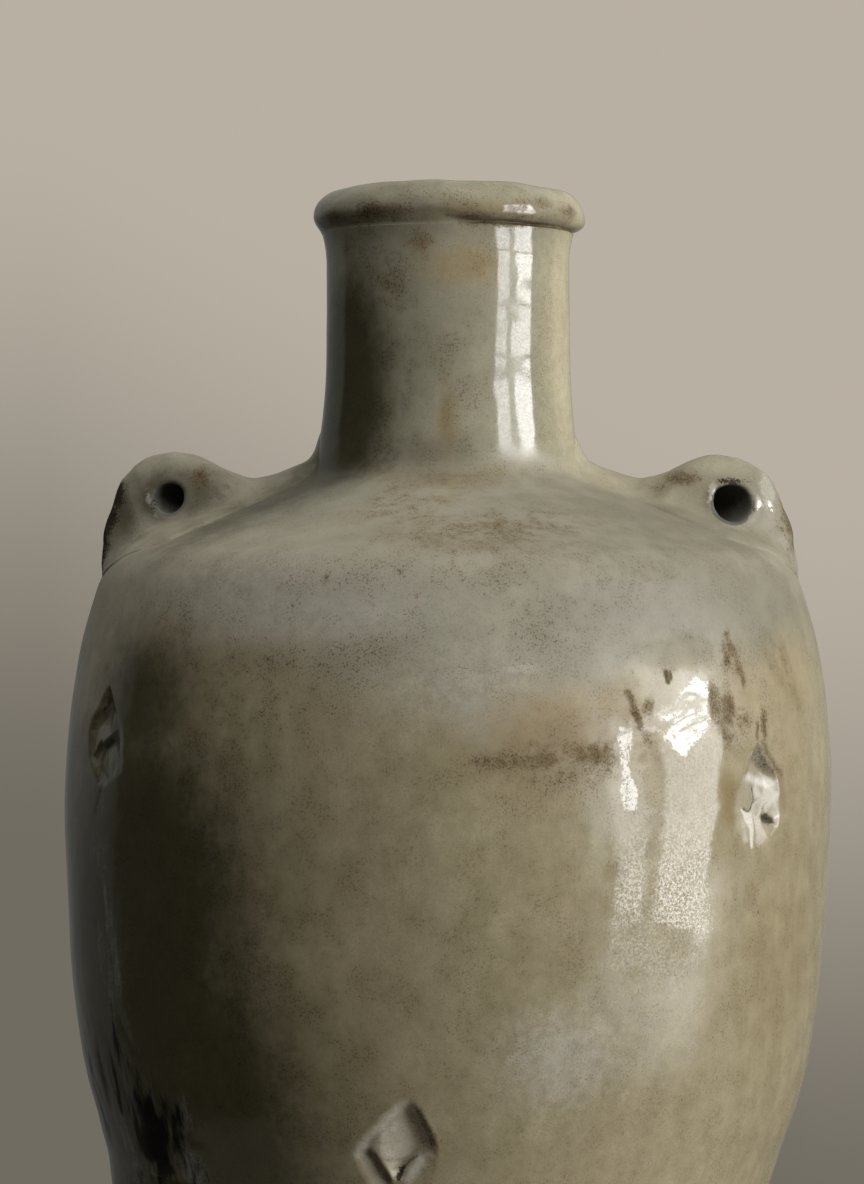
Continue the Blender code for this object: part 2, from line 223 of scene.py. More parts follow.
# Folded dents: points (across, up, depth) and the strips of creases between them
DENT_SHAPES = {
    "right": ((
        (0.1, 13.9, 0), (1.5, 11.4, 0), (3.2, 9.2, 0), (5.2, 7.3, 0), (7.4, 5.6, 0), (9, 3.4, 0), (10, 0, 0),
        (10, -4.2, 0), (9.2, -8.2, 0), (5.4, -10.4, 0), (0.8, -12.8, 0), (-3.6, -15, 0), (-7.4, -12.4, 0),
        (-9.6, -8, 0), (-10.4, -2.4, 0), (-9.2, 1.9, 0), (-6.6, 4.9, 0), (-4.3, 7.4, 0), (-2.8, 9.6, 0),
        (-1.6, 11.9, 0), (-1.6, 9, 1.5), (0.8, 7.6, 2.3), (3.6, 6.3, 2.3), (6, 5.2, 1.6), (-4, 5.2, 1.2),
        (-1.6, 4.6, 2.2), (1.8, 3.9, 2.5), (5.4, 3, 2), (0.6, 0, 2.7), (1.3, -2.6, 3), (0.4, -3.8, 3),
        (-2, -4.2, 2.7), (-4.6, -3, 2.1), (-5.6, 0.6, 1.4), (-2.2, -0.8, 2.2), (4.6, -0.6, 1.7),
        (-5.6, -4.6, 1.2), (-3, -5.6, 1.2), (-0.6, -5.6, 1), (-0.6, -8, 0.8), (-1, -10, 0.6),
        (-2.4, -12.8, 0.2), (-5.6, -9, 0.7), (0.6, -6, 2), (0.6, -8.4, 1.4), (0, -10.6, 0.9), (3, -4.6, 1.5),
        (4.4, -5.8, 2.4), (6.6, -6.9, 2.4), (8.2, -7.2, 0.8), (7.4, -5.4, 1), (5, -4.4, 1.4), (4, -7.6, 0.8),
        (7.2, -1.8, 0.7)), (
        (0, 1, 2, 3, 4, 5), (0, 19, 18, 17, 16, 15), (20, 21, 22, 23), (24, 25, 26, 27),
        (28, 29, 30, 31, 32), (36, 37, 38, 39, 40, 41), (43, 44, 45), (46, 47, 48, 49))),
    "bottom": ((
        (3.4, 11.2, 0), (5, 9.9, 0), (6.2, 7.6, 0), (7.4, 5.4, 0), (8.8, 2.6, 0), (9.6, 0, 0),
        (9.8, -2.6, 0), (9.2, -6.4, 0), (7, -10.4, 0), (1.6, -13.8, 0), (-3.4, -14.4, 0), (-6.8, -11.4, 0),
        (-9.2, -6.6, 0), (-10.4, -2.6, 0), (-9, 1.5, 0), (-5.2, 5.2, 0), (-2.2, 8.6, 0), (0.6, 10.9, 0),
        (2.4, 8.4, 2.2), (3.2, 5.6, 2.9), (4.4, 3.2, 3.1), (6, 0.8, 2.9), (7, -1, 2.1), (0.9, 9.6, 0.4),
        (-1.2, 7.4, 0.5), (-3.6, 4.4, 0.5), (-6.4, 1.1, 0.5), (-6.6, -0.8, 0.5), (-5.8, -1.4, 0.2),
        (-4.2, -3.8, 0.1), (-2.8, -6.2, 0), (-1.3, -9.4, 0), (-7.2, -2.4, 1.9), (-5.4, -5.4, 2.5),
        (-3.6, -8.6, 2.4), (-2.2, -11, 1.4), (5, -2.7, 2), (3.1, -3.6, 2.6), (1.3, -5.4, 2.8),
        (0.4, -6.8, 2.6), (6, -3.6, 0.9), (4, -4.7, 0.9), (2.2, -6.6, 0.8), (1.2, -9, 0.7)), (
        (0, 1, 2, 3, 4, 5), (0, 18, 19, 20, 21, 22), (17, 16, 15, 14), (23, 24, 25, 26, 27, 28, 29, 30, 31),
        (32, 33, 34, 35), (36, 37, 38, 39), (40, 41, 42, 43))),
    "left": ((
        (-1.1, 13.2, 0), (1, 11.2, 0), (2.4, 9.7, 0), (4.6, 7.7, 0), (6.7, 5.3, 0), (8.8, 2.9, 0),
        (10, -0.5, 0), (10.6, -5.4, 0), (10, -8.6, 0), (6.2, -10.4, 0), (2.2, -12.2, 0), (-2.4, -12, 0),
        (-6.4, -8.6, 0), (-10, -4.6, 0), (-11.6, 1, 0), (-9.8, 4.6, 0), (-6.2, 7.4, 0), (-3.2, 11.2, 0),
        (-1.6, 9, 2), (-2.4, 6.6, 2.4), (-5, 4.3, 2.2), (-8.2, 2, 1.4), (0.8, 9, 1), (3, 6.8, 0.7),
        (5, 4.4, 0.6), (7, 2, 0.6), (8, -1, 0.5), (8.3, -5.6, 0.5), (1.2, 0.3, 1), (-3.2, -1.8, 1),
        (1.9, -0.8, 2.6), (-3, -2.9, 2.4), (-4.4, -0.9, 0.9), (-8.1, -5, 0.8), (-4.6, -2.2, 2),
        (-7.6, -5.8, 1.4), (-4.5, -6.6, 1.6), (-1.4, -9.4, 1.4), (1.6, -10.2, 1), (4, -8.6, 0.5),
        (5.8, -5.2, 1.4)), (
        (0, 1, 2, 3, 4, 5, 6, 7), (0, 18, 19, 20, 21), (22, 23, 24, 25, 26, 27), (28, 29), (30, 31),
        (32, 33), (34, 35), (36, 37, 38, 39))),
}
# Turn, level, shape and whether it is mirrored; the last three can't be seen in the photograph
DENTS = (
    (49.5, 160.0, "right", False), (-8.0, 78.0, "bottom", False), (-60.0, 174.0, "left", False),
    (175.0, 165.0, "right", True), (113.0, 70.0, "bottom", True), (233.0, 67.0, "left", True),
)
DENT_SOFTNESS = 0.5
DENT_SAMPLES = 8
DENT_REACH = 17.0
DENT_MARGIN = 3.0
CREASE_GAP = 1e-5
FLAT_AREA = 1e-9
EDGE_SLACK = 1e-6


def dent_triangles(shape):
    """Corner points of the triangles that fill a dent between its creases."""
    points, strips = shape
    creases = [crease for strip in strips for crease in zip(strip, strip[1:])]
    flat = [Vector(point[:2]) for point in points]
    corners, _, faces, origins, _, _ = delaunay_2d_cdt(flat, creases, [], 0, CREASE_GAP)
    places = np.array([point[:2] for point in points])
    depths = []
    for corner, origin in zip(corners, origins):
        if origin:
            depths.append(points[origin[0]][2])
            continue
        # A crossing of two creases lies between its two nearest points
        away = np.hypot(*(places - np.array(corner)).T)
        near = np.argsort(away)[:2]
        share = away[near[0]] / away[near].sum()
        depths.append(points[near[0]][2] * (1 - share) + points[near[1]][2] * share)
    return [[(corners[i][0], corners[i][1], depths[i]) for i in face] for face in faces]


def faceted_depth(triangles, across, up):
    """Depth of the flat facets at places across and up from the dent's middle."""
    depth = np.zeros(len(across))
    for (x1, y1, d1), (x2, y2, d2), (x3, y3, d3) in triangles:
        area = (x2 - x1) * (y3 - y1) - (x3 - x1) * (y2 - y1)
        if abs(area) < FLAT_AREA:
            continue
        second = ((across - x1) * (y3 - y1) - (x3 - x1) * (up - y1)) / area
        third = ((x2 - x1) * (up - y1) - (across - x1) * (y2 - y1)) / area
        inside = (second >= -EDGE_SLACK) & (third >= -EDGE_SLACK) & (second + third <= 1 + EDGE_SLACK)
        depth[inside] = (d1 + (d2 - d1) * second + (d3 - d1) * third)[inside]
    return depth


def dent_depths(turn, path):
    """How deep all the dents press the skin in."""
    total = np.zeros(len(turn))
    ring = [(0, 0)] + [(math.cos(angle) * DENT_SOFTNESS, math.sin(angle) * DENT_SOFTNESS)
                       for angle in ring_turns(DENT_SAMPLES)]
    for place, level, shape, mirrored in DENTS:
        across = arc(np.degrees(turn), place, wall_radius(level))
        up = path - path_at(level)
        near = np.hypot(across, up) < DENT_REACH + DENT_MARGIN
        if not near.any():
            continue
        across = across[near] * (-1 if mirrored else 1)
        triangles = dent_triangles(DENT_SHAPES[shape])
        total[near] += sum(faceted_depth(triangles, across + x, up[near] + y) for x, y in ring) / len(ring)
    return total


# Runs of dark glaze at the lower left, which slant towards the front as they go down
RUN_TURN = -57.0
RUN_LEVEL = 80.0
RUN_SLANT = 0.22
RUN_HALF_WIDTH = 14.0
RUN_TOP = 122.0
RUN_FADE = 45.0
RUN_HEIGHT = 0.16
RUN_SOFTNESS = 0.12
# Folds of the runs: shortest and longest spacing in degrees, shortest and longest length, number, seed
RUN_FOLDS = (10.0, 24.0, 22.0, 70.0, 7, 71)
# Wrinkled places in the glaze: turn, level, half width, half height, depth
WRINKLES = (
    (35, 180, 13, 9, 0.016), (26, 170, 7, 13, 0.02), (45, 182, 7, 7, 0.04), (15, 170, 16, 5, 0.02),
    (32, 150, 18, 24, 0.007),
)
# They run up to the right: their slant's sine and cosine, and how much longer than wide they are
WRINKLE_SLANT = (0.34, 0.94)
WRINKLE_STRETCH = 0.3
WRINKLE_WAVES = (2.2, 6.0, 36, 61)
WRINKLE_REACH = 6
NORMAL_STEP = 0.2
INNER_RINGS = (0.2, 7.0)
INNER_LUMPS = ((0.15, 25, 60, 12, 21),)


def run_share(degrees, level):
    """Place across the runs and how strong they are there."""
    across = degrees - RUN_TURN + RUN_SLANT * (level - RUN_LEVEL)
    return across, np.exp(-(across / RUN_HALF_WIDTH) ** 2) * smooth_step(RUN_TOP, RUN_TOP - RUN_FADE, level)


def run_folds(across, level):
    """Long pointed folds with sharp valleys, between 0 and 1."""
    closest, widest, shortest, longest, waves, seed = RUN_FOLDS
    draw = np.random.default_rng(seed)
    total = np.zeros(len(across))
    for _ in range(waves):
        spacing = draw.uniform(closest, widest)
        length = draw.uniform(shortest, longest) * draw.choice((-1, 1))
        total += np.cos(2 * math.pi * (across / spacing + level / length) + draw.uniform(0, 2 * math.pi))
    total *= math.sqrt(2 / waves)
    return np.sqrt(total * total + RUN_SOFTNESS ** 2) - RUN_SOFTNESS


def relief(turn, path, radius, level):
    """How far the skin stands off the outline."""
    degrees = wrapped(np.degrees(turn))
    side = np.sin(turn)
    stands = [np.interp(level, SIDE_LEVELS, table) for table in (LEFT_STANDS, RIGHT_STANDS)]
    lift = np.where(side < 0, *stands) * side * side
    points = round_points(turn, radius, level)
    for height, *field in LUMPS:
        lift += height * wave_field(points, *field)
    drift = wave_field(points, *THROWING_DRIFT)
    lift += THROWING_DEPTH * np.cos(2 * math.pi * path / THROWING_PITCH + drift) * (1 + THROWING_SWAY * drift)
    slanted, share = run_share(degrees, level)
    lift += RUN_HEIGHT * share * run_folds(slanted, level)
    sine, cosine = WRINKLE_SLANT
    for place, middle, wide, high, depth in WRINKLES:
        sideways = (degrees - place) * math.pi / 180 * radius
        off = (sideways / wide) ** 2 + ((level - middle) / high) ** 2
        near = off < WRINKLE_REACH
        if near.any():
            along = sideways[near] * cosine + level[near] * sine
            across = level[near] * cosine - sideways[near] * sine
            flat = np.column_stack([along * WRINKLE_STRETCH, across, np.zeros(len(along))])
            lift[near] += depth * np.exp(-off[near]) * wave_field(flat, *WRINKLE_WAVES)
    return lift - dent_depths(turn, path)


def outer(turn, path):
    """Points of the outer skin."""
    radius, level, out, up = on_outline(path)
    lift = relief(turn, path, radius, level)
    return round_points(turn, radius + out * lift, level + up * lift)


def outer_normals(turn, path):
    """Outward directions of the outer skin, the same on both sides of a joint."""
    step = NORMAL_STEP
    radius = on_outline(path)[0]
    sideways = outer(turn + step / radius, path) - outer(turn - step / radius, path)
    upwards = outer(turn, np.minimum(path + step, LIP_PATH)) - outer(turn, np.maximum(path - step, 0))
    normals = np.cross(sideways, upwards)
    return normals / np.linalg.norm(normals, axis=1)[:, None]


def thickness(level):
    """Wall thickness, which eases from the body's to the neck's over the shoulder."""
    share = np.clip((level - SHOULDER_LEVEL) / (COLLAR_LEVEL - SHOULDER_LEVEL), 0, 1)
    return BODY_WALL + (NECK_WALL - BODY_WALL) * share


def inner(turn, path):
    """Points of the inner skin, with its throwing rings."""
    radius, level, out, up = on_outline(path)
    height, pitch = INNER_RINGS
    points = round_points(turn, radius, level)
    lift = height * np.cos(2 * math.pi * path / pitch) + summed_waves(points, INNER_LUMPS) - thickness(level)
    return round_points(turn, radius + out * lift, level + up * lift)


# ---------------------------------------------------------------- meshes

COLUMNS = 400
INNER_COLUMNS = COLUMNS // 4
ROW_HEIGHT = 1.6
NECK_ROW_HEIGHT = 0.9
INNER_ROW_HEIGHT = 3.0
FINE = 4
# Floor inside the bowl, and the plain disc under it
FLOOR_TOP = 17.0
FLOOR_ROUND = 14.0
FLOOR_STEPS = np.radians(np.arange(15, 91, 15))
FLOOR_INSET = 1.0
FLOOR_RINGS = (34.0, 22.0, 10.0)
FLOOR_WAVE = (0.25, 5)
FLOOR_MIDDLE = 0.5
UNDER_RADIUS = 55.0
# More places with a fine mesh, the runs and the pools: turn, half width, lowest and highest level
FINE_PLACES = ((-60, 24, 46, 116), (32, 28, 140, 194))


def vertex_values(mesh, key):
    """Places or normals of a mesh's points, one in a row."""
    values = np.zeros(len(mesh.vertices) * 3)
    mesh.vertices.foreach_get(key, values)
    return values.reshape(-1, 3)


def face_outwards(mesh):
    """Turns the faces of a closed mesh outwards."""
    shape = bmesh.new()
    shape.from_mesh(mesh)
    bmesh.ops.recalc_face_normals(shape, faces=shape.faces)
    shape.to_mesh(mesh)
    shape.free()


def new_mesh(name, points, faces):
    """Mesh of points in millimetres."""
    mesh = bpy.data.meshes.new(name)
    mesh.from_pydata((points * MM).tolist(), [], [tuple(int(k) for k in face) for face in faces])
    return mesh


class Shape:
    """Points and faces of one closed piece, gathered skin by skin."""

    def __init__(self):
        self.points = []
        self.normals = []
        self.faces = []
        self.count = 0

    def add(self, points, normals=None):
        """Adds points and returns their numbers."""
        points = np.asarray(points, float)
        self.points.append(points)
        self.normals.append(np.full(points.shape, np.nan) if normals is None else normals)
        numbers = np.arange(self.count, self.count + len(points))
        self.count += len(points)
        return numbers

    def between(self, low, high):
        """Faces between two rings with the same or a simply divided number of points."""
        many, few = (low, high) if len(low) >= len(high) else (high, low)
        share = len(many) // len(few)
        for i in range(len(few)):
            j = (i + 1) % len(few)
            run = [many[(i * share + k) % len(many)] for k in range(share + 1)]
            face = run + [few[j], few[i]]
            self.faces.append(tuple(face if many is low else face[::-1]))

    def chain(self, previous, rings):
        """Adds rings, each joined to the one before it, and returns the last one."""
        for points in rings:
            ring = self.add(points)
            self.between(previous, ring)
            previous = ring
        return previous

    def cap(self, ring, centre, flip=False):
        """Fan from a ring to a middle point."""
        middle = self.add([centre])[0]
        for i, j in zip(ring, np.roll(ring, -1)):
            face = (i, j, middle)
            self.faces.append(face[::-1] if flip else face)

    def skin(self, rows, windows):
        """Outer skin over rows of paths, finer inside windows (turn and path ranges); returns end rings."""
        coarse_rows = len(rows) - 1
        fine_cell = np.zeros((coarse_rows, COLUMNS), bool)
        row_middle = (rows[:-1] + rows[1:]) / 2
        column_middle = (np.arange(COLUMNS) + 0.5) * 2 * math.pi / COLUMNS
        for turn_middle, half_turn, low, high in windows:
            away = np.abs((column_middle - turn_middle + math.pi) % (2 * math.pi) - math.pi)
            fine_cell |= ((row_middle > low) & (row_middle < high))[:, None] & (away < half_turn)[None, :]
        numbers = {}
        order = []

        def number(i, j):
            key = (i, j % (COLUMNS * FINE))
            if key not in numbers:
                numbers[key] = len(order)
                order.append(key)
            return numbers[key]

        faces = []
        steps = range(FINE)
        for i in range(coarse_rows):
            for j in range(COLUMNS):
                a, b = i * FINE, j * FINE
                if fine_cell[i, j]:
                    for p, q in np.ndindex(FINE, FINE):
                        corners = ((p, q), (p, q + 1), (p + 1, q + 1), (p + 1, q))
                        faces.append(tuple(number(a + di, b + dj) for di, dj in corners))
                    continue
                # A coarse cell takes up the points of finer neighbours below, right, above and left
                finer = (i > 0 and fine_cell[i - 1, j], fine_cell[i, (j + 1) % COLUMNS],
                         i + 1 < coarse_rows and fine_cell[i + 1, j], fine_cell[i, j - 1])
                sides = ([(a, b + k) for k in steps], [(a + k, b + FINE) for k in steps],
                         [(a + FINE, b + FINE - k) for k in steps], [(a + FINE - k, b) for k in steps])
                faces.append(tuple(number(*corner) for side, fine in zip(sides, finer)
                                   for corner in (side if fine else side[:1])))
        order = np.array(order)
        fine_rows = np.interp(np.arange(coarse_rows * FINE + 1) / FINE, np.arange(coarse_rows + 1), rows)
        turn = order[:, 1] * 2 * math.pi / (COLUMNS * FINE)
        path = fine_rows[order[:, 0]]
        first = self.count
        self.add(outer(turn, path), outer_normals(turn, path))
        self.faces += [tuple(first + k for k in face) for face in faces]
        return [np.array([first + numbers[(i, j * FINE)] for j in range(COLUMNS)])
                for i in (0, coarse_rows * FINE)]

    def build(self, name, material):
        """Makes the object and gives it the masks of its glaze and of its painted light and shade."""
        mesh = new_mesh(name, np.vstack(self.points), self.faces)
        mesh.update()
        return finished(name, mesh, material, np.vstack(self.normals))


def finished(name, mesh, material, normals=None):
    """Object of a mesh, shaded smooth, with the masks of its glaze and of its painted light and shade at its
    points.
    """
    face_outwards(mesh)
    mesh.materials.append(material)
    mesh.shade_smooth()
    places = vertex_values(mesh, "co") / MM
    own = vertex_values(mesh, "normal")
    if normals is not None:
        given = ~np.isnan(normals[:, 0])
        own[given] = normals[given]
        mesh.normals_split_custom_set_from_vertices(own.tolist())
    for mask, values in masks(places, own).items():
        mesh.attributes.new(mask, "FLOAT", "POINT").data.foreach_set("value", values.astype(np.float32))
    return linked(name, mesh)


INNER_TURNS = ring_turns(INNER_COLUMNS)


def inner_rings(low, high):
    """Rings of the inner skin, from the top down."""
    return [inner(INNER_TURNS, np.full(INNER_COLUMNS, path))
            for path in rows_between(low, high, INNER_ROW_HEIGHT)[::-1]]


def fine_windows():
    """Ranges of turn and path that get the fine mesh."""
    windows = []
    for place, level, _, _ in DENTS:
        half = (DENT_REACH - DENT_MARGIN) / wall_radius(level)
        windows.append((math.radians(place), half, path_at(level) - DENT_REACH, path_at(level) + DENT_REACH))
    for place, half, low, high in FINE_PLACES:
        windows.append((math.radians(place), math.radians(half), path_at(low), path_at(high)))
    return windows


def lower_body_shape():
    """Thrown bowl with its floor."""
    shape = Shape()
    low, high = shape.skin(rows_between(0, JOINT_PATH, ROW_HEIGHT), fine_windows())
    under = shape.add(round_points(INNER_TURNS, UNDER_RADIUS, FOOT_LEVEL))
    shape.between(under, low)
    shape.cap(under, (0, 0, FOOT_LEVEL), flip=True)
    start = path_at(FLOOR_TOP + FLOOR_ROUND)
    last = shape.chain(high, inner_rings(start, JOINT_PATH))
    radius = float(np.hypot(*inner(np.zeros(1), np.array([start]))[0][:2]))
    last = shape.chain(last, [
        round_points(INNER_TURNS, radius - FLOOR_ROUND * (1 - math.cos(angle)) - FLOOR_INSET,
                     FLOOR_TOP + FLOOR_ROUND * (1 - math.sin(angle))) for angle in FLOOR_STEPS])
    wave, pitch = FLOOR_WAVE
    last = shape.chain(last, [round_points(INNER_TURNS, reach, FLOOR_TOP + wave * math.cos(reach / pitch))
                              for reach in FLOOR_RINGS])
    shape.cap(last, (0, 0, FLOOR_TOP + FLOOR_MIDDLE))
    return shape


def tube_shape(low_path, high_path, row_height, windows):
    """Section of wall between two joints, with its outer and inner skins."""
    shape = Shape()
    low, high = shape.skin(rows_between(low_path, high_path, row_height), windows)
    shape.between(shape.chain(high, inner_rings(low_path, high_path)), low)
    return shape


# Lip: outline on its left and right, from the neck over the crown and down into the bore
LIP_LEFT = (
    (33, 303.5), (33.1, 304.2), (33.6, 304.9), (34.1, 305.6), (34.6, 306.3), (35.15, 307.4), (35.25, 308.6),
    (34.9, 310.4), (33.8, 312.3), (32.2, 313.8), (30.6, 314.7), (29, 315), (27.6, 314.7), (26.5, 313.6),
    (26.1, 312), (26.1, 308), (26.1, 303.5),
)
LIP_RIGHT = (
    (33, 303.5), (32.1, 303.9), (31.95, 304.3), (33, 304.45), (34.2, 304.75), (35.2, 305.5), (35.65, 306.9),
    (35.45, 308.7), (34.2, 311.6), (32.4, 313.6), (30.6, 314.6), (29, 315), (27.6, 314.7), (26.5, 313.6),
    (26.1, 312), (26.1, 308), (26.1, 303.5),
)
LIP_STEPS = 5
LIP_KERNEL = np.array([1, 4, 6, 4, 1]) / 16
LIP_ROUNDS = 3
# Turns over which the tuck comes in and goes out again
LIP_TUCK = ((-6, 16), (160, 100))
LIP_SWELLS = ((0.16, 14, 40, 18, 31), (0.05, 5, 9, 24, 33))
LIP_RISE = 0.6
# Steps over which the swelling comes in and goes out, and over which the lip takes up the neck's own edge
LIP_FADES = (6, 8, 5)


def lip_shape():
    """Rolled coil, tucked under on its right side only."""
    shape = Shape()
    turn = ring_turns(COLUMNS)
    degrees = wrapped(np.degrees(turn))
    tucked = smooth_step(*LIP_TUCK[0], degrees) * smooth_step(*LIP_TUCK[1], degrees)
    last = len(LIP_LEFT) - 1
    places = rows_between(0, last, 1 / LIP_STEPS)
    start = outer(turn, np.full(COLUMNS, LIP_PATH))
    start_reach = np.hypot(start[:, 0], start[:, 1])
    sides = []
    for outline in (LIP_LEFT, LIP_RIGHT):
        curve = columns_at(places, np.arange(last + 1), np.array(outline))
        for _ in range(LIP_ROUNDS):
            curve[2:-2] = convolved(curve, LIP_KERNEL)
        sides.append(curve)
    rings = []
    for step, ((left_r, left_z), (right_r, right_z)) in enumerate(zip(*sides)):
        r = left_r + (right_r - left_r) * tucked
        z = left_z + (right_z - left_z) * tucked
        share = min(step / LIP_FADES[0], 1.0) * min((len(places) - 1 - step) / LIP_FADES[1], 1.0)
        swell = summed_waves(round_points(turn, r, z), LIP_SWELLS) * share
        away = max(1 - step / LIP_FADES[2], 0.0)
        r = r + swell + (start_reach - r) * away
        z = z + swell * LIP_RISE + (start[:, 2] - z) * away
        rings.append(round_points(turn, r, z))
    first = shape.add(rings[0])
    shape.between(shape.chain(first, rings[1:]), first)
    return shape


# Foot ring: its outline from the joint round under it
FOOT_OUTLINE = (
    (58, 8), (57.6, 5), (57.2, 2.2), (56.9, 1.1), (56.2, 0.3), (55, 0), (52.5, 0), (50, 0), (49.1, 0.3),
    (48.4, 1.1), (48, 2.4), (47.4, 5.2), (47, 8),
)
FOOT_COLUMNS = 240
FOOT_STEPS = 3
FOOT_CHIPS = ((0.12, 3, 9, 30, 41), (0.18, 15, 40, 12, 43))
# The chips fade out over these heights under the joint and over the ground, and lift the edge by a share
FOOT_JOINT_FADE = 0.3
FOOT_GROUND_FADE = 2.0
FOOT_LIFT_LEVEL = 1.5
FOOT_LIFT = 0.25


def foot_shape():
    """Turned ring of bare clay, with the marks of the tool that cut it."""
    shape = Shape()
    turn = ring_turns(FOOT_COLUMNS)
    outline = np.array(FOOT_OUTLINE)
    last = len(outline) - 1
    places = rows_between(0, last, 1 / FOOT_STEPS)
    rings = []
    for place, (r, z) in zip(places, columns_at(places, np.arange(last + 1), outline)):
        chip = summed_waves(round_points(turn, r, z), FOOT_CHIPS)
        chip *= min(z, FOOT_GROUND_FADE) / FOOT_GROUND_FADE * min(FOOT_LEVEL - z + FOOT_JOINT_FADE, 1.0)
        reach = r + chip * (1 if place < len(outline) / 2 else -1)
        lifted = np.maximum(z + FOOT_LIFT * np.abs(chip), 0.0) if z < FOOT_LIFT_LEVEL else z
        rings.append(shape.add(round_points(turn, reach, lifted)))
    for low, high in zip(rings, rings[1:] + rings[:1]):
        shape.between(low, high)
    return shape


# ---------------------------------------------------------------- lugs

# Crest: place down the slope from the neck's corner, and height over the shoulder
LEFT_CREST = (
    (-8, 13.6), (-5, 10.4), (-3.3, 8.6), (-1.6, 6.7), (0, 5.6), (1.4, 5), (3.4, 4.7), (6.4, 4.4), (9.2, 4.4),
    (11.9, 4.7), (14.6, 5.2), (16.5, 6.2), (17.9, 7.5), (19.9, 9.5), (21.9, 11.45), (23.8, 13.7),
    (25.7, 15.9), (27.8, 17.8), (30.1, 19.1), (32.4, 20.3), (35, 20.9), (37.7, 21.2), (40.6, 21),
    (43.1, 20.6), (45.7, 19.2), (47.5, 18.2), (49.9, 15.8), (51.9, 13.2), (53.8, 10.65), (55.5, 7.6),
    (56.7, 5.3), (58.3, 3.6), (60.2, 1.9), (61.5, 0.6), (63, -0.6), (66, -2.4),
)
RIGHT_CREST = (
    (-8, 12.8), (-5, 9.8), (-3.8, 8.5), (-1.3, 6.4), (0, 5.4), (1.6, 4.7), (4.8, 4.3), (7.5, 4.5),
    (10.3, 4.5), (13.1, 4.6), (14.9, 5.1), (16.6, 6.4), (18.9, 7.9), (21, 9.6), (22.9, 11.9), (24.8, 14.1),
    (26.9, 15.9), (29.1, 17.4), (31.4, 18.6), (34.1, 19.1), (36.8, 19.4), (39.6, 19.45), (42.6, 19),
    (45.8, 18.1), (47.9, 16.7), (50.2, 14.5), (51.9, 12.4), (53.7, 10.3), (55.4, 7.6), (56.8, 5),
    (58.6, 3.2), (61, 1.6), (63.3, 0.2), (66, -1.8),
)
# Fin: share of the crest's height by distance from its middle plane
FIN_SHARES = (
    (0, 1), (2, 0.995), (4, 0.97), (7, 0.88), (9.5, 0.72), (11, 0.55), (12.3, 0.38), (14, 0.22), (16, 0.08),
    (18, -0.03), (40, -0.3),
)
# The ridge from the neck to the fin is narrower than the fin by this share
TAIL_WIDTHS = ((0, 0.62), (14, 0.72), (24, 1))
# Pad: half width and thickness by place down the slope
PAD_WIDTHS = (
    (-8, 13), (8, 14), (14, 15.5), (21, 20), (28, 24.5), (35, 29), (46, 34), (53, 31), (58, 24), (62, 15),
    (66, 10),
)
PAD_HEIGHTS = (
    (-8, 0.8), (10, 1.3), (20, 3.2), (30, 4.5), (45, 4.2), (53, 3), (58, 1.4), (61, 0.2), (63, -0.8),
    (66, -2.2),
)
# Share of the pad's thickness by share of its half width, where it stands and where it is smeared on
PAD_SHARES = (
    (0, 1), (0.3, 0.9), (0.55, 0.66), (0.75, 0.42), (0.88, 0.26), (0.95, 0.17), (1, -0.1), (1.04, -0.3),
)
TAIL_SHARES = ((0, 1), (0.2, 0.93), (0.4, 0.72), (0.6, 0.42), (0.8, 0.14), (0.92, 0), (1.04, -0.35))
# Places down the slope between which the pad begins to stand
PAD_START = (12, 26)
PAD_DROP = 0.35
PAD_EDGE = (0.97, 1.03)
LUG_START = -7.0
LUG_END = 66.0
LUG_HALF_WIDTH = 36.0
LUG_STEP = 0.55
LUG_SINK = 1.8
LUG_BLEND = 0.6
LUG_LUMPS = ((0.12, 6, 16, 30, 51),)
LUG_LUMP_LEVELS = (0.0, 3.0)
LUG_VOXEL = 0.42
LUG_SMOOTH = 0.5
LUG_SMOOTH_ROUNDS = 3
NECK_CORNER = (33.8, 240.8)
SLOPE_ALONG = (0.922, -0.386)
LUG_STRAIGHT = (5.0, 10.0)
SLOPE_MIDDLE_LEVEL = 229.83
SLOPE_MIDDLE_DOWN = 28.4
SLOPE_MIDDLE_PATH = path_at(SLOPE_MIDDLE_LEVEL)
HOLE_FACES = {"lug_left": (-72.3, 234.4), "lug_right": (73.5, 233.1)}
HOLE_SIZES = {"lug_left": 4.0, "lug_right": 4.95}
HOLE_STRETCH = 1.08
BEAD_HEIGHT = 0.45
BEAD_WIDTH = 1.2
BEAD_OFFSET = 1.0
BEAD_DEPTHS = (6, 9)


def table(pairs, value):
    """Value looked up between the pairs of a table."""
    return np.interp(value, *zip(*pairs))


def shoulder_path(down):
    """Path of a place that lies this far down the slope from the neck's corner."""
    return SLOPE_MIDDLE_PATH + SLOPE_MIDDLE_DOWN - down


def lug_line(down):
    """Radius and outward direction of the shoulder under a lug; inside the neck it goes straight on."""
    radius, _, out, up = on_outline(shoulder_path(np.maximum(down, LUG_STRAIGHT[0])))
    share = smooth_step(*LUG_STRAIGHT, down)
    straight = NECK_CORNER[0] + SLOPE_ALONG[0] * down
    return (straight * (1 - share) + radius * share, -SLOPE_ALONG[1] * (1 - share) + out * share,
            SLOPE_ALONG[0] * (1 - share) + up * share)


def lug_base(turn, down):
    """Points of the shoulder under a lug."""
    skin = outer(turn, shoulder_path(np.maximum(down, LUG_STRAIGHT[0])))
    radius, level = (corner + along * down for corner, along in zip(NECK_CORNER, SLOPE_ALONG))
    share = smooth_step(*LUG_STRAIGHT, down)[:, None]
    return round_points(turn, radius, level) * (1 - share) + skin * share


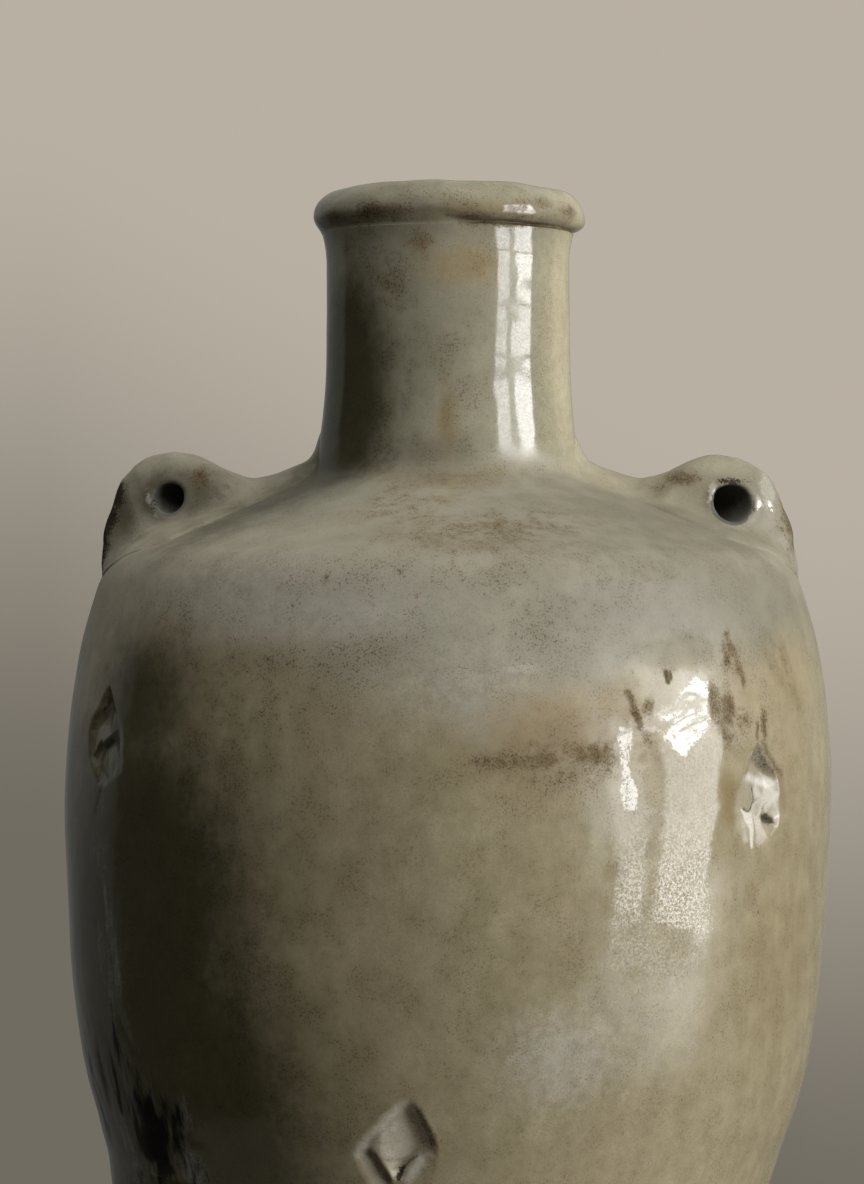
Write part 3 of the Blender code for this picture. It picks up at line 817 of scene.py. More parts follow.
def lug_height(crest, down, across):
    """Height of a lug over the shoulder."""
    fin = table(crest, down) * table(FIN_SHARES, np.abs(across) / table(TAIL_WIDTHS, down))
    share = np.abs(across) / table(PAD_WIDTHS, down)
    stands = smooth_step(*PAD_START, down)
    pad = table(TAIL_SHARES, share) * (1 - stands) + table(PAD_SHARES, share) * stands
    height = table(PAD_HEIGHTS, down)
    pad = np.where(height > 0, pad * height, height) - PAD_DROP * smooth_step(*PAD_EDGE, share)
    return LUG_BLEND * np.logaddexp(fin / LUG_BLEND, pad / LUG_BLEND)


def lug_mesh(name, crest, side):
    """Closed skin of a lug, from under the shoulder's surface over its crest."""
    downs = rows_between(LUG_START, LUG_END, LUG_STEP)
    shares = np.linspace(-PAD_EDGE[1], PAD_EDGE[1], 2 * int(LUG_HALF_WIDTH / LUG_STEP) + 1)
    down, share = (values.ravel() for values in np.meshgrid(downs, shares, indexing="ij"))
    across = share * table(PAD_WIDTHS, down)
    height = lug_height(crest, down, across)
    radius, out, up = lug_line(down)
    turn = side * math.pi / 2 + across / radius
    base = lug_base(turn, down)
    centred = np.column_stack([np.sin(turn), -np.cos(turn)])

    def raised(points, lift):
        """Points moved straight off the slope, without fanning out."""
        moved = points.copy()
        moved[:, :2] += centred * (out * lift)[:, None]
        moved[:, 2] += up * lift
        return moved

    lumps = summed_waves(base, LUG_LUMPS) * smooth_step(*LUG_LUMP_LEVELS, height)
    points = base + lumps[:, None] * np.column_stack([centred * out[:, None], up])
    rows, columns = len(downs), len(shares)
    count = rows * columns
    grid = np.arange(count).reshape(rows, columns)
    faces = []
    for i, j in np.ndindex(rows - 1, columns - 1):
        face = (grid[i, j], grid[i, j + 1], grid[i + 1, j + 1], grid[i + 1, j])
        faces += [face, tuple(k + count for k in face[::-1])]
    edge = [*grid[0, :-1], *grid[:-1, -1], *grid[-1, :0:-1], *grid[:0:-1, 0]]
    faces += [(b, a, a + count, b + count) for a, b in zip(edge, edge[1:] + edge[:1])]
    mesh = new_mesh(name, np.vstack([raised(points, height), raised(base, -LUG_SINK)]), faces)
    face_outwards(mesh)
    return mesh


# Pin that bores half a hole: depth from the lug's middle plane, shift towards the neck, share of the radius
PIN = (
    (21, 0, 1.04), (14, 0, 1.03), (12, 0.1, 1), (9.8, 0.8, 0.97), (7.6, 2.7, 0.94), (5.5, 5.6, 0.91),
    (3.2, 8.8, 0.88), (0.6, 11.6, 0.85), (-1.6, 13.2, 0.8),
)
PIN_RISE = 0.12
PIN_SIDES = 44
# Unevenness round the pin: height, waves round it, their start, and how the start goes with the side
PIN_WAVES = ((0.03, 2, 1.1, 0), (0.03, 3, 0, 0.4))
PIN_RIPPLE = (0.012, 7)


def hole_cutter(name, front):
    """Bent pin of half a cord hole, which leans to the neck as it goes in."""
    x, z = HOLE_FACES[name]
    side = math.copysign(1, x)
    centres = [Vector((x - side * shift, -front * depth, z + PIN_RISE * shift)) for depth, shift, _ in PIN]
    shape = bmesh.new()
    rings = []
    for k, (centre, row) in enumerate(zip(centres, PIN)):
        inwards = (centres[min(k + 1, len(PIN) - 1)] - centres[max(k - 1, 0)]).normalized()
        level_axis = Vector((0, 0, 1)).cross(inwards).normalized()
        up_axis = inwards.cross(level_axis)
        ring = []
        for angle in ring_turns(PIN_SIDES):
            wobble = 1
            for height, number, start, turned in PIN_WAVES:
                wobble += height * math.sin(number * angle + start + turned * side)
            wobble += PIN_RIPPLE[0] * math.sin(PIN_RIPPLE[1] * angle + k)
            offset = level_axis * math.cos(angle) + up_axis * math.sin(angle) * HOLE_STRETCH
            ring.append(shape.verts.new((centre + offset * HOLE_SIZES[name] * row[2] * wobble) * MM))
        rings.append(ring)
    for low, high in zip(rings, rings[1:]):
        for k in range(PIN_SIDES):
            shape.faces.new((low[k], low[(k + 1) % PIN_SIDES], high[(k + 1) % PIN_SIDES], high[k]))
    shape.faces.new(rings[0][::-1])
    shape.faces.new(rings[-1])
    mesh = bpy.data.meshes.new(name + "_pin")
    shape.to_mesh(mesh)
    shape.free()
    face_outwards(mesh)
    return linked(name + "_pin", mesh)


def modify(item, kind, **values):
    """Adds a modifier with its settings."""
    modifier = item.modifiers.new(kind.lower(), kind)
    for key, value in values.items():
        setattr(modifier, key, value)


def lug_object(name, shown, crest, side, material):
    """Lug with its hole pierced and its edges softened."""
    body = linked(name + "_work", lug_mesh(name + "_work", crest, side))
    pins = [hole_cutter(name, front) for front in (1, -1)]
    for pin in pins:
        modify(body, "BOOLEAN", operation="DIFFERENCE", solver="EXACT", object=pin)
    modify(body, "REMESH", mode="VOXEL", voxel_size=LUG_VOXEL * MM)
    modify(body, "SMOOTH", factor=LUG_SMOOTH, iterations=LUG_SMOOTH_ROUNDS)
    mesh = bpy.data.meshes.new_from_object(body.evaluated_get(bpy.context.evaluated_depsgraph_get()))
    mesh.name = shown
    for thing in [body] + pins:
        bpy.data.objects.remove(thing, do_unlink=True)
    # A low bead of slip stands round each mouth
    places = vertex_values(mesh, "co") / MM
    x, z = HOLE_FACES[name]
    off = np.hypot(places[:, 0] - x, places[:, 2] - z)
    bead = np.exp(-((off - HOLE_SIZES[name] - BEAD_OFFSET) / BEAD_WIDTH) ** 2)
    bead = bead * BEAD_HEIGHT * smooth_step(*BEAD_DEPTHS, np.abs(places[:, 1]))
    places += vertex_values(mesh, "normal") * bead[:, None]
    mesh.vertices.foreach_set("co", (places * MM).ravel())
    mesh.update()
    mesh.materials.clear()
    return finished(shown, mesh, material)


# ---------------------------------------------------------------- where each glaze lies, and where light and shade are painted

# Level where the ash glaze of the shoulder gives way to the olive of the belly, by turn
ASH_EDGE = (
    (-180, 199), (-120, 196), (-90, 204), (-52, 203), (-22, 198), (-3, 185), (4, 172), (9, 178), (15.5, 185),
    (28, 192), (44, 197), (66, 204), (90, 206), (130, 198), (180, 199),
)
# How wide that change is, by turn
ASH_BLUR = ((-180, 14), (-90, 18), (-40, 22), (-10, 20), (4, 10), (12, 5), (60, 5), (100, 10), (180, 14))
# Patches by mask: turn, level, half width in mm round the vase, half height, strength
PATCHES = {
    "tan": (
        (14, 180, 17, 10, 0.9), (27, 181, 14, 12, 0.7), (48, 186, 14, 15, 0.9), (62, 190, 14, 14, 0.9),
        (60, 168, 16, 22, 0.5), (16, 166, 22, 7, 0.5), (-1, 249, 3.5, 18, 1), (5, 293, 12, 7, 1)),
    "brown_and_shade": (
        (6, 170.5, 7, 3.4, 0.82), (12, 170, 10, 4.2, 0.9), (20, 171.5, 11, 4.2, 0.86),
        (15, 169.5, 24, 9, 0.62), (29.5, 183, 3.5, 5, 0.7), (27, 190, 1.5, 4, 0.5), (43.5, 181, 4.5, 6.5, 1),
        (47, 179, 6, 4.5, 0.7), (44, 173, 4.5, 5, 0.55), (44.5, 195, 2.4, 6, 0.8),
        (47.5, 189, 1.8, 4.5, 0.75), (52, 186, 8, 5, 0.35), (33.2, 189.8, 0.9, 1.5, 1.2),
        (51.5, 177.5, 1.8, 6, 0.85), (48, 135, 5, 5, 0.5), (45, 137, 1.7, 4, 0.65), (50.5, 131, 1.4, 2, 0.7),
        (56, 192, 6, 8, 0.5), (-18.9, 213, 1, 1, 1.2), (8, 226, 30, 6, 0.52), (-12, 231, 14, 6, 0.5),
        (28, 214, 24, 7, 0.46), (-8, 214, 42, 14, 0.38), (-25, 186, 26, 14, 0.4), (12, 204, 24, 12, 0.4),
        (-30, 194, 28, 8, 0.56), (-46, 200, 12, 8, 0.58), (-10, 197, 22, 8, 0.46), (-35, 180, 20, 10, 0.3),
        (-4, 308, 12, 4, 0.34), (62, 308, 10, 3, 0.8), (44, 309.5, 8, 2.4, 0.65), (-32, 307, 11, 3, 0.9),
        (-56, 306, 12, 3, 0.6), (24, 304, 12, 1.4, 0.9), (12, 305.2, 9, 1.6, 0.9), (30, 307, 12, 3, 0.5),
        # The two thin lines at level 304 paint the shade under the lip's tuck
        (40, 304, 22, 0.7, 1), (80, 304, 22, 0.7, 1), (-16, 300, 8, 3.4, 0.55), (-26, 290, 6, 12, 0.62),
        (-6, 238, 20, 5, 0.35)),
    "rust": (
        (42.5, 160, 5, 7, 0.8), (46, 184, 16, 12, 0.45), (14, 174, 27, 10, 0.95), (48, 135, 8, 7, 0.5),
        (58, 190, 10, 12, 0.5), (6, 224, 40, 9, 0.5), (14, 307, 20, 3.5, 0.8), (60, 306, 20, 3, 0.6),
        (5, 305.5, 30, 4, 0.5), (-1, 250, 2.6, 16, 0.85), (8, 293, 10, 5, 0.5), (-12, 299, 4, 3, 0.8),
        (72, 284, 6, 14, 0.6), (-2, 240, 22, 6, 0.8), (60, 122, 28, 46, 0.55)),
    # Pale glaze; the patch low on the front paints a reflection, and the wide one on the shoulder's left
    # paints light there
    "pale": (
        (16, 99, 16, 15, 0.85), (-25, 155, 5, 11, 0.4), (-44, 184, 3, 5, 0.3), (10, 192, 5, 1.5, 0.8),
        (-24, 206, 46, 12, 0.9), (-3, 190, 26, 20, 0.45), (10, 205, 30, 14, 0.3), (86, 158, 12, 50, 1)),
    "satin": ((38, 160, 15, 18, 1.3), (30, 138, 20, 28, 1), (30, 166, 12, 14, 0.9)),
    "matt": ((25, 184, 9, 7, 1.1), (15, 178, 15, 12, 1), (50, 186, 12, 14, 0.9), (36, 195, 14, 5, 1)),
    # Dark glaze on the left side, darkened further as painted shade on the side away from the window
    "dark_glaze_and_shade": (
        (-54, 135, 50, 55, 1.25), (-52, 82, 54, 62, 1.4), (-52, 182, 31, 24, 0.95), (-82, 130, 34, 70, 1.1),
        (-82, 60, 34, 60, 1.1), (-57, 260, 19, 40, 1.25)),
    "deep": (
        (46, 208, 70, 16, 1), (16, 214, 24, 12, 0.7), (60, 228, 60, 14, 0.9), (-5, 244, 17, 9, 0.9),
        (25, 222, 40, 10, 0.55), (-4, 272, 14, 28, 0.55)),
    "light": ((75, 280, 16, 50, 0.95), (60, 246, 16, 12, 0.4)),
    # Umber on the lugs, partly painted shade on the left one
    "umber_and_shade": ((-90, 226, 26, 14, 0.45), (90, 222, 24, 14, 0.25)),
    "black": (
        (-53, 74, 15, 17, 0.95), (-60, 90, 8, 16, 0.85), (-68, 92, 4, 17, 0.85), (-60, 56, 34, 20, 0.6),
        (-74, 80, 5, 18, 0.7)),
    # Painted sheen: grey tongues of reflection in the runs at the lower left
    "painted_sheen": (
        (-63, 66, 8, 20, 0.75), (-46, 68, 6, 12, 0.8), (-44, 82, 3, 5, 0.6), (-58, 118, 7, 30, 0.55),
        (-62, 150, 7, 30, 0.4)),
}
# Stains, painted shade and painted highlights drawn as lines: mask, points (across, up) from the anchor, half
# width, strength; a line that ends where it starts is filled. The shade lines paint the shade on the dents'
# walls, creases and pits, and the white lines paint their lit facets and glints
RIGHT_STAINS_AND_PAINTED_LIGHT = (
    ("shade",
     ((0.3, 13), (1.9, 11.4), (2.8, 9.4), (4.6, 7.6), (5.9, 6.7), (3.6, 7.3), (1, 8.4), (-1.4, 9.6),
      (-0.8, 11.6), (0.3, 13)), 0.75, 0.5), ("shade", ((0.8, 12), (2.4, 9.6), (4.6, 7.4)), 1.1, 0.66),
    ("shade", ((-2.4, 9.3), (-3.4, 7.4), (-4.4, 5.7)), 0.4, 0.8),
    ("shade", ((0.8, 1.8), (1.3, 0.2), (1.4, -1.6), (0.8, -3.2), (-0.6, -3.8), (-3.4, -2.9)), 0.32, 0.85),
    ("shade", ((3.9, -4.9), (5.6, -4.8), (7.6, -5.9), (8.2, -6.9), (6.2, -6.8), (4.3, -5.9), (3.9, -4.9)),
     0.4, 0.9), ("painted_highlight", ((-2.6, 5), (0.6, 4.2), (4, 3.4), (7.4, 2.6)), 1.4, 0.95),
    ("painted_highlight",
     ((-4.2, -3.2), (-1.4, -4.4), (0.4, -4.4), (0.2, -6), (-0.6, -8.8), (-1.8, -12.4), (-2.1, -12),
      (-1.9, -8), (-3.6, -5.6), (-4.2, -3.2)), 0.5, 1), ("painted_highlight", ((-4.6, -6), (-4.2, -10.4)), 1.6, 0.5),
    ("painted_highlight", ((8.8, -5.6), (9.4, -5.3)), 0.4, 1.1), ("painted_highlight", ((-2.1, 10.8), (-2.5, 9.7)), 0.4, 1),
    ("brown_and_shade", ((2.6, 13), (4.6, 10), (7.4, 7.4), (10.4, 5)), 1.8, 0.75),
    ("brown_and_shade", ((0.6, 17.6), (0.2, 14.4)), 1.2, 0.9), ("brown_and_shade", ((3.2, 20.4), (2.2, 16)), 1.2, 0.7),
    ("rust", ((-12, 3), (-11, -4)), 4.5, 0.9), ("rust", ((10, 4), (11.5, -3)), 2.6, 0.7),
)
BOTTOM_STAINS_AND_PAINTED_LIGHT = (
    ("shade", ((3.4, 9.6), (4.6, 6.8), (6, 3.6), (7.4, 0.4)), 2.6, 0.55),
    ("shade", ((5.4, 8.4), (6.8, 5), (8.6, 0.6)), 1.4, 0.8),
    ("shade", ((-6.6, -2.2), (-4.8, -5.6), (-2.6, -9.4), (-1.6, -11)), 1.5, 0.75),
    ("shade", ((-5.4, -2.2), (-3.8, -5.2), (-2, -8.6)), 0.5, 0.95),
    ("iron", ((0.6, -6.4), (0, -8.2)), 0.8, 1.3), ("iron", ((1.4, -5.4), (0.6, -6.4)), 0.5, 1),
    ("shade", ((4.6, -2.8), (2.8, -4), (1.4, -5.4)), 0.5, 0.7),
    ("painted_highlight", ((2.4, 10.2), (-1.2, 7.4), (-4.6, 4), (-7.6, 0.8), (-9.6, -1.8)), 1.9, 0.7),
    ("painted_highlight", ((5.4, -3.6), (3.8, -6.4), (2.4, -8.4)), 1.9, 0.8),
    ("painted_highlight", ((-4.6, 0.4), (0.6, 5.4), (2.6, 0), (0.2, -3.6), (-3.6, -0.6), (-4.6, 0.4)), 2.8, 0.55),
)
LEFT_STAINS_AND_PAINTED_LIGHT = (
    ("iron", ((-1.2, 12.2), (-2.4, 9), (-5, 6.4)), 0.8, 0.7),
    ("brown_and_shade", ((-1.2, 12.2), (-2.4, 9), (-5, 6.4), (-8.8, 4.2), (-10.3, 1.6)), 1.3, 0.85),
    ("shade", ((0.2, -11.9), (-2.2, -15.8), (-4.6, -19.4)), 1.2, 0.9),
    ("shade", ((-4.1, -1.1), (-8.1, -5)), 0.7, 0.7), ("shade", ((1.2, -0.8), (-3, -3)), 0.7, 0.7),
    ("shade", ((-4.5, -5.9), (-3.7, -7.6), (-1, -9), (1.4, -10.1)), 0.7, 0.75),
    ("painted_highlight", ((3, -9), (4.5, -8.6)), 0.6, 0.3),
)
DENT_STAINS_AND_PAINTED_LIGHT = {"right": RIGHT_STAINS_AND_PAINTED_LIGHT, "bottom": BOTTOM_STAINS_AND_PAINTED_LIGHT, "left": LEFT_STAINS_AND_PAINTED_LIGHT}
# Pools of gloss in the window's reflection, with a painted highlight in their colour, and the stains round
# them
POOL_STAINS_AND_PAINTED_LIGHT = (
    ("gloss_and_highlight",
     ((-6.2, 0.6), (-1, 1.6), (2.6, 5.6), (6.6, 8.8), (9.6, 7.8), (8.6, 3.4), (8.8, -2.6), (5.4, -5),
      (0.6, -8.4), (-3.2, -4.6), (-0.8, -0.8), (-6.2, 0.6)), 1.2, 0.95),
    ("gloss_and_highlight", ((-13.4, -1.2), (-9.4, -2.4), (-5, -3.2)), 0.9, 0.6),
    ("gloss_and_highlight",
     ((-16.4, -2.4), (-13.6, -3), (-13.8, -6.4), (-15.6, -11.2), (-13, -17.2), (-13.2, -21), (-15.6, -21.3),
      (-16.6, -17), (-15.8, -13.6), (-16.6, -7), (-16.4, -2.4)), 0.8, 0.78),
    ("brown_and_shade", ((11.8, 5.6), (13.4, 0.6), (15.6, -4.6)), 4.2, 0.85),
    ("brown_and_shade", ((12, 4), (22, 1.2)), 1.4, 0.7),
    ("brown_and_shade", ((19.4, 19.8), (21.2, 14.6), (22.8, 9.6)), 2.2, 0.8),
    ("brown_and_shade", ((-13.8, 6), (-11, -2)), 1.6, 0.9), ("brown_and_shade", ((-9.6, -4), (-7, -10)), 1.8, 0.6),
    ("brown_and_shade", ((-2.6, 10.8), (-2.2, 8.6)), 0.9, 1.2), ("brown_and_shade", ((44, 14), (49, 2)), 4, 0.6),
    ("rust", ((20, 16), (24, 4)), 5, 0.7), ("tan", ((-36, 2), (-22, 3)), 6, 0.8),
    ("brown_and_shade", ((-40, -6), (-20, -7)), 2.4, 0.6),
)
POOL_ANCHOR = (34.0, 180.0)
MARK_REACH = 60.0
# Spots on the lugs by mask: x, y, z, half sizes along x, y and z, strength
SPOTS = {
    "brown_and_shade": (
        (-63.7, -12, 240, 3.2, 9, 3.6, 0.9), (-58, -10, 237, 4, 8, 2, 0.6),
        (61, -12, 239.8, 5.4, 8, 2.8, 1.05), (54, -10, 237.4, 5, 8, 2, 0.5), (88, 0, 226, 3.6, 13, 13, 1.2)),
    "iron": (
        (-86, 0, 235, 2.3, 11, 4, 1.9), (-87.6, 0, 228.5, 2.8, 11, 5, 2.1),
        (-88.6, 0, 224.5, 2.6, 11, 5, 1.8), (-89.6, 0, 220, 2.6, 11, 6, 1.8),
        (88.2, 0, 222.5, 1.6, 6, 10, 0.9), (-76.2, -12, 231.5, 1, 4, 3, 0.8),
        (73, -12, 238.8, 4.2, 5, 1.1, 1.1), (79.2, -12, 232, 0.8, 4, 3, 0.7)),
    # Umber on the lugs' faces, partly painted shade, and painted shade in the creases along the pads' edges
    "umber_and_shade": (
        (-72, -13, 236, 17, 9, 9, 1.1), (-84, -8, 228, 6, 8, 12, 1.1), (70, -13, 236, 18, 9, 9, 0.8),
        (-76, -17, 223.5, 9, 8, 3.2, 0.5), (-66, -18, 227, 9, 8, 3.2, 0.45), (-57, -18, 231, 9, 8, 3.2, 0.4),
        (56, -18, 231, 9, 8, 3, 0.6), (65, -19, 226.5, 9, 8, 3, 0.55), (74, -18, 222.5, 8, 8, 3, 0.6)),
    "tan": ((84, -7, 229, 3, 6, 6, 0.9),),
    # Painted light on the lit lip of the left hole's rim
    "pale": ((-77, -12, 233, 1.5, 4, 5, 0.8),),
    # Glossy spots round the holes, with painted glints
    "gloss_and_highlight": (
        (83, -8, 235.6, 2, 8, 4.8, 1.4), (80.4, -12, 233.6, 1.1, 5, 2.4, 1.2),
        (68.4, -13, 235.2, 1.2, 5, 3.4, 1.3), (-77.8, -12, 235, 0.9, 8, 2.6, 0.8),
        (-76, -12, 229.8, 0.9, 8, 1.2, 0.8)),
}
DRAWN_MASKS = ("shade", "painted_highlight", "bore")
HOLLOW_DEPTHS = (0.1, 0.9)
NECK_LEVELS = (238, 252)
RUN_RADIUS = 60.0
# Painted shade inside a cord hole: how squarely its wall faces inwards, how far it goes in holes' sizes, and
# the
# part that lies deep in the lug: depth, place of its middle and radius
BORE_FACING = 0.3
BORE_REACH = 1.2
BORE_DEPTH = 9.0
BORE_MIDDLE = 0.93
BORE_RADIUS = 7.0
TINY = 0.1


def line_distance(across, up, points):
    """Distance from places to a line, 0 inside it where it is closed."""
    nearest = np.full(len(across), np.inf)
    inside = np.zeros(len(across), bool)
    for (x1, y1), (x2, y2) in zip(points, points[1:]):
        run, rise = x2 - x1, y2 - y1
        share = np.clip(((across - x1) * run + (up - y1) * rise) / (run * run + rise * rise), 0, 1)
        nearest = np.minimum(nearest, np.hypot(across - x1 - share * run, up - y1 - share * rise))
        if rise:
            inside ^= ((y1 > up) != (y2 > up)) & (across < x1 + run * (up - y1) / rise)
    if points[0] == points[-1]:
        nearest[inside] = 0
    return nearest


def add_stains_and_painted_light(result, turn, level, anchor, drawn_marks, mirrored=False):
    """Adds the stains and the painted light and shade round one anchor to the masks."""
    across = arc(turn, anchor[0], wall_radius(anchor[1])) * (-1 if mirrored else 1)
    up = level - anchor[1]
    near = np.hypot(across, up) < MARK_REACH
    for mask, points, wide, strength in drawn_marks:
        value = strength * np.exp(-(line_distance(across[near], up[near], points) / wide) ** 2)
        result[mask][near] = np.maximum(result[mask][near], value)


def masks(points, normals):
    """Share of each glaze, stain, painted highlight and painted shade at points, which the materials turn
    into ragged patches.
    """
    x, y, z = points.T
    reach = np.hypot(x, y)
    turn = np.degrees(np.arctan2(x, -y))
    result = {name: np.zeros(len(points)) for name in (*PATCHES, *SPOTS, *DRAWN_MASKS)}
    result["ash"] = np.clip(0.5 + (z - table(ASH_EDGE, turn)) / (2 * table(ASH_BLUR, turn)), 0, 1)

    def add_blobs(mask, rows, places):
        """Adds soft blobs, each with its middle, its half sizes and its strength."""
        for *sizes, strength in rows:
            middle, half = sizes[:len(sizes) // 2], sizes[len(sizes) // 2:]
            away = sum((off / size) ** 2 for off, size in zip(places(*middle), half))
            result[mask] = np.maximum(result[mask], strength * np.exp(-away))

    for mask, rows in PATCHES.items():
        add_blobs(mask, rows, lambda place, level: (arc(turn, place, reach), z - level))
    for place, level, shape, mirrored in DENTS:
        add_stains_and_painted_light(result, turn, z, (place, level), DENT_STAINS_AND_PAINTED_LIGHT[shape], mirrored)
    add_stains_and_painted_light(result, turn, z, POOL_ANCHOR, POOL_STAINS_AND_PAINTED_LIGHT)
    for mask, rows in SPOTS.items():
        add_blobs(mask, rows, lambda *middle: points.T - np.array(middle)[:, None])
    outside = (normals[:, 0] * x + normals[:, 1] * y) > 0
    wall = outside & (z < SHOULDER_LEVEL) & (z > FOOT_LEVEL)
    depth = np.zeros(len(points))
    depth[wall] = dent_depths(np.radians(turn[wall]), np.interp(z[wall], OUTLINE[:, 1], PATHS))
    result["hollow"] = smooth_step(*HOLLOW_DEPTHS, depth)
    result["run"] = run_share(turn, z)[1] * outside * (reach > RUN_RADIUS)
    # Painted shade on the inside of each cord hole
    for hole, (hole_x, hole_z) in HOLE_FACES.items():
        off = np.hypot(x - hole_x, z - hole_z)
        facing = (normals[:, 0] * (x - hole_x) + normals[:, 2] * (z - hole_z)) / np.maximum(off, TINY)
        walled = (facing < -BORE_FACING) & (off < HOLE_SIZES[hole] * BORE_REACH)
        deep = (np.abs(y) < BORE_DEPTH) & (np.hypot(x - hole_x * BORE_MIDDLE, z - hole_z) < BORE_RADIUS)
        result["bore"][(x * hole_x > 0) & (walled | deep)] = 1.0
    result["gloss_and_highlight"] *= 1 - result["bore"]
    result["neck"] = smooth_step(*NECK_LEVELS, z)
    return result


# ---------------------------------------------------------------- materials

class Nodes:
    """Short hand for building the node tree of a material or a world."""

    def __init__(self, owner):
        owner.use_nodes = True
        self.tree = owner.node_tree

    def add(self, kind, **values):
        """New node with its settings and inputs."""
        node = self.tree.nodes.new(kind)
        for key, value in values.items():
            if hasattr(node, key) and key not in node.inputs:
                setattr(node, key, value)
            else:
                self.put(node.inputs[key], value)
        return node

    def put(self, socket, value):
        """Links a socket or sets it."""
        if isinstance(value, bpy.types.NodeSocket):
            self.tree.links.new(value, socket)
        elif socket.type == "RGBA" and len(value) == 3:
            socket.default_value = (*value, 1.0)
        else:
            socket.default_value = value

    def maths(self, operation, *values):
        node = self.add("ShaderNodeMath", operation=operation)
        for socket, value in zip(node.inputs, values):
            self.put(socket, value)
        return node.outputs[0]

    def times(self, first, second):
        return self.maths("MULTIPLY", first, second)

    def plus(self, first, second):
        return self.maths("ADD", first, second)

    def most(self, first, second):
        return self.maths("MAXIMUM", first, second)

    def ramp(self, value, low, high, start=0.0, end=1.0, kind="SMOOTHSTEP"):
        """Value between low and high turned into start to end."""
        given = {"Value": value, "From Min": low, "From Max": high, "To Min": start, "To Max": end}
        return self.add("ShaderNodeMapRange", interpolation_type=kind, **given).outputs[0]

    def mix(self, share, first, second, blend="MIX"):
        node = self.add("ShaderNodeMix", data_type="RGBA", blend_type=blend, clamp_factor=True)
        for number, value in ((0, share), (6, first), (7, second)):
            self.put(node.inputs[number], value)
        return node.outputs[2]

    def noise(self, size, detail, rough, stretch=None):
        """Noise whose blobs are about this many millimetres across, drawn out where stretch is small."""
        place = self.place
        if stretch:
            place = self.add("ShaderNodeMapping", Vector=place, Scale=stretch).outputs["Vector"]
        given = {"Vector": place, "Scale": 1.0 / (size * MM), "Detail": detail, "Roughness": rough}
        return self.add("ShaderNodeTexNoise", **given).outputs["Fac"]

    def mask(self, name):
        return self.add("ShaderNodeAttribute", attribute_name=name).outputs["Fac"]

    def bump(self, distance, height):
        node = self.add("ShaderNodeBump", Strength=1.0, Distance=distance * MM, Height=height)
        return node.outputs[0]


def new_material(name):
    """Material with its nodes and the inputs of its shader."""
    material = bpy.data.materials.new(name)
    n = Nodes(material)
    n.place = n.add("ShaderNodeTexCoord").outputs["Object"]
    return material, n, n.tree.nodes["Principled BSDF"].inputs


ASH = (0.262, 0.240, 0.178)
ASH_GREEN = (0.232, 0.218, 0.162)
OLIVE = (0.240, 0.206, 0.126)
OLIVE_PALE = (0.280, 0.243, 0.156)
TAN = (0.258, 0.207, 0.118)
# Brown of the stains, dark and soft; both also paint the shade under the lip's tuck
BROWN = (0.058, 0.039, 0.017)
TINT = (0.138, 0.103, 0.054)
RUST = (0.178, 0.127, 0.060)
# Umber, which also paints the shade on the lugs and along their pads
UMBER_AND_SHADE = (0.066, 0.059, 0.036)
DEEP = (0.158, 0.145, 0.102)
HOLLOW = (0.330, 0.305, 0.245)
# Painted highlight: the lit facets and glints in the dents and the shine on the glossy pools
HIGHLIGHT_PAINT = (0.560, 0.540, 0.480)
SHADE = (0.050, 0.042, 0.028)
# Painted shade inside the cord holes
HOLE_SHADE = (0.090, 0.090, 0.076)
BLACK = (0.006, 0.005, 0.004)
# Painted sheen: the grey reflection of the room in the runs
SHEEN_PAINT = (0.150, 0.155, 0.140)
# Pale glaze, which also paints light on the shoulder's left and on a hole's rim, and a reflection low on the
# front
PALE_GLAZE_AND_LIGHT = (0.340, 0.320, 0.265)
NECK_GREEN = (0.225, 0.215, 0.150)
IRON = (0.020, 0.012, 0.008)
# Dark glaze of the left side, which also paints the shade on that side
DARK_GLAZE_AND_SHADE = (0.034, 0.031, 0.013)
NECK_PALE = (0.42, 0.37, 0.24)
PLAIN = (1, 1, 1)
NECK_STRENGTH = 0.7
ASH_RAGGED = 0.6
SPECK = (0.100, 0.078, 0.045)
SPECK_TINT = (0.52, 0.47, 0.39)
CLAY = (0.155, 0.088, 0.048)
CLAY_PALE = (0.235, 0.150, 0.090)
# Unevenness of a patch's edge: shares of the mottled, the fine and the grainy noise
SOFT = (0.7, 0.8, 0.4)
GRIT = (0.5, 1.3, 2.2)
# Layers of the glaze and of the painted light and shade, from the bottom up: mask, colour, strength, where
# the patch begins and is full, unevenness of its edge and how much of that
LAYERS = (
    ("tan", TAN, 0.85, 0.1, 1.0, SOFT, 1), ("pale", PALE_GLAZE_AND_LIGHT, 0.8, 0.1, 1.0, SOFT, 1),
    ("rust", RUST, 0.7, 0.1, 1.0, SOFT, 1), ("deep", DEEP, 0.9, 0.1, 1.0, SOFT, 1),
    ("umber_and_shade", UMBER_AND_SHADE, 0.95, 0.05, 1.0, SOFT, 0.5), ("hollow", HOLLOW, 0.4, None, None, None, None),
    ("painted_highlight", HIGHLIGHT_PAINT, 0.85, 0.15, 1.05, (0, 0.6, 0.7), 1), ("light", NECK_PALE, 0.85, 0.1, 1.0, SOFT, 0.3),
    ("dark_glaze_and_shade", DARK_GLAZE_AND_SHADE, 0.94, 0.1, 0.95, SOFT, 0.5), ("brown_and_shade", TINT, 0.7, 0.2, 1.0, SOFT, 1),
    ("brown_and_shade", BROWN, 0.85, 0.36, 1.4, GRIT, 1), ("shade", SHADE, 0.92, 0.12, 1.0, (0, 0.9, 1.3), 1),
    ("bore", HOLE_SHADE, 0.92, 0.3, 0.7, SOFT, 1), ("iron", IRON, 0.92, 0.4, 0.9, GRIT, 1),
)
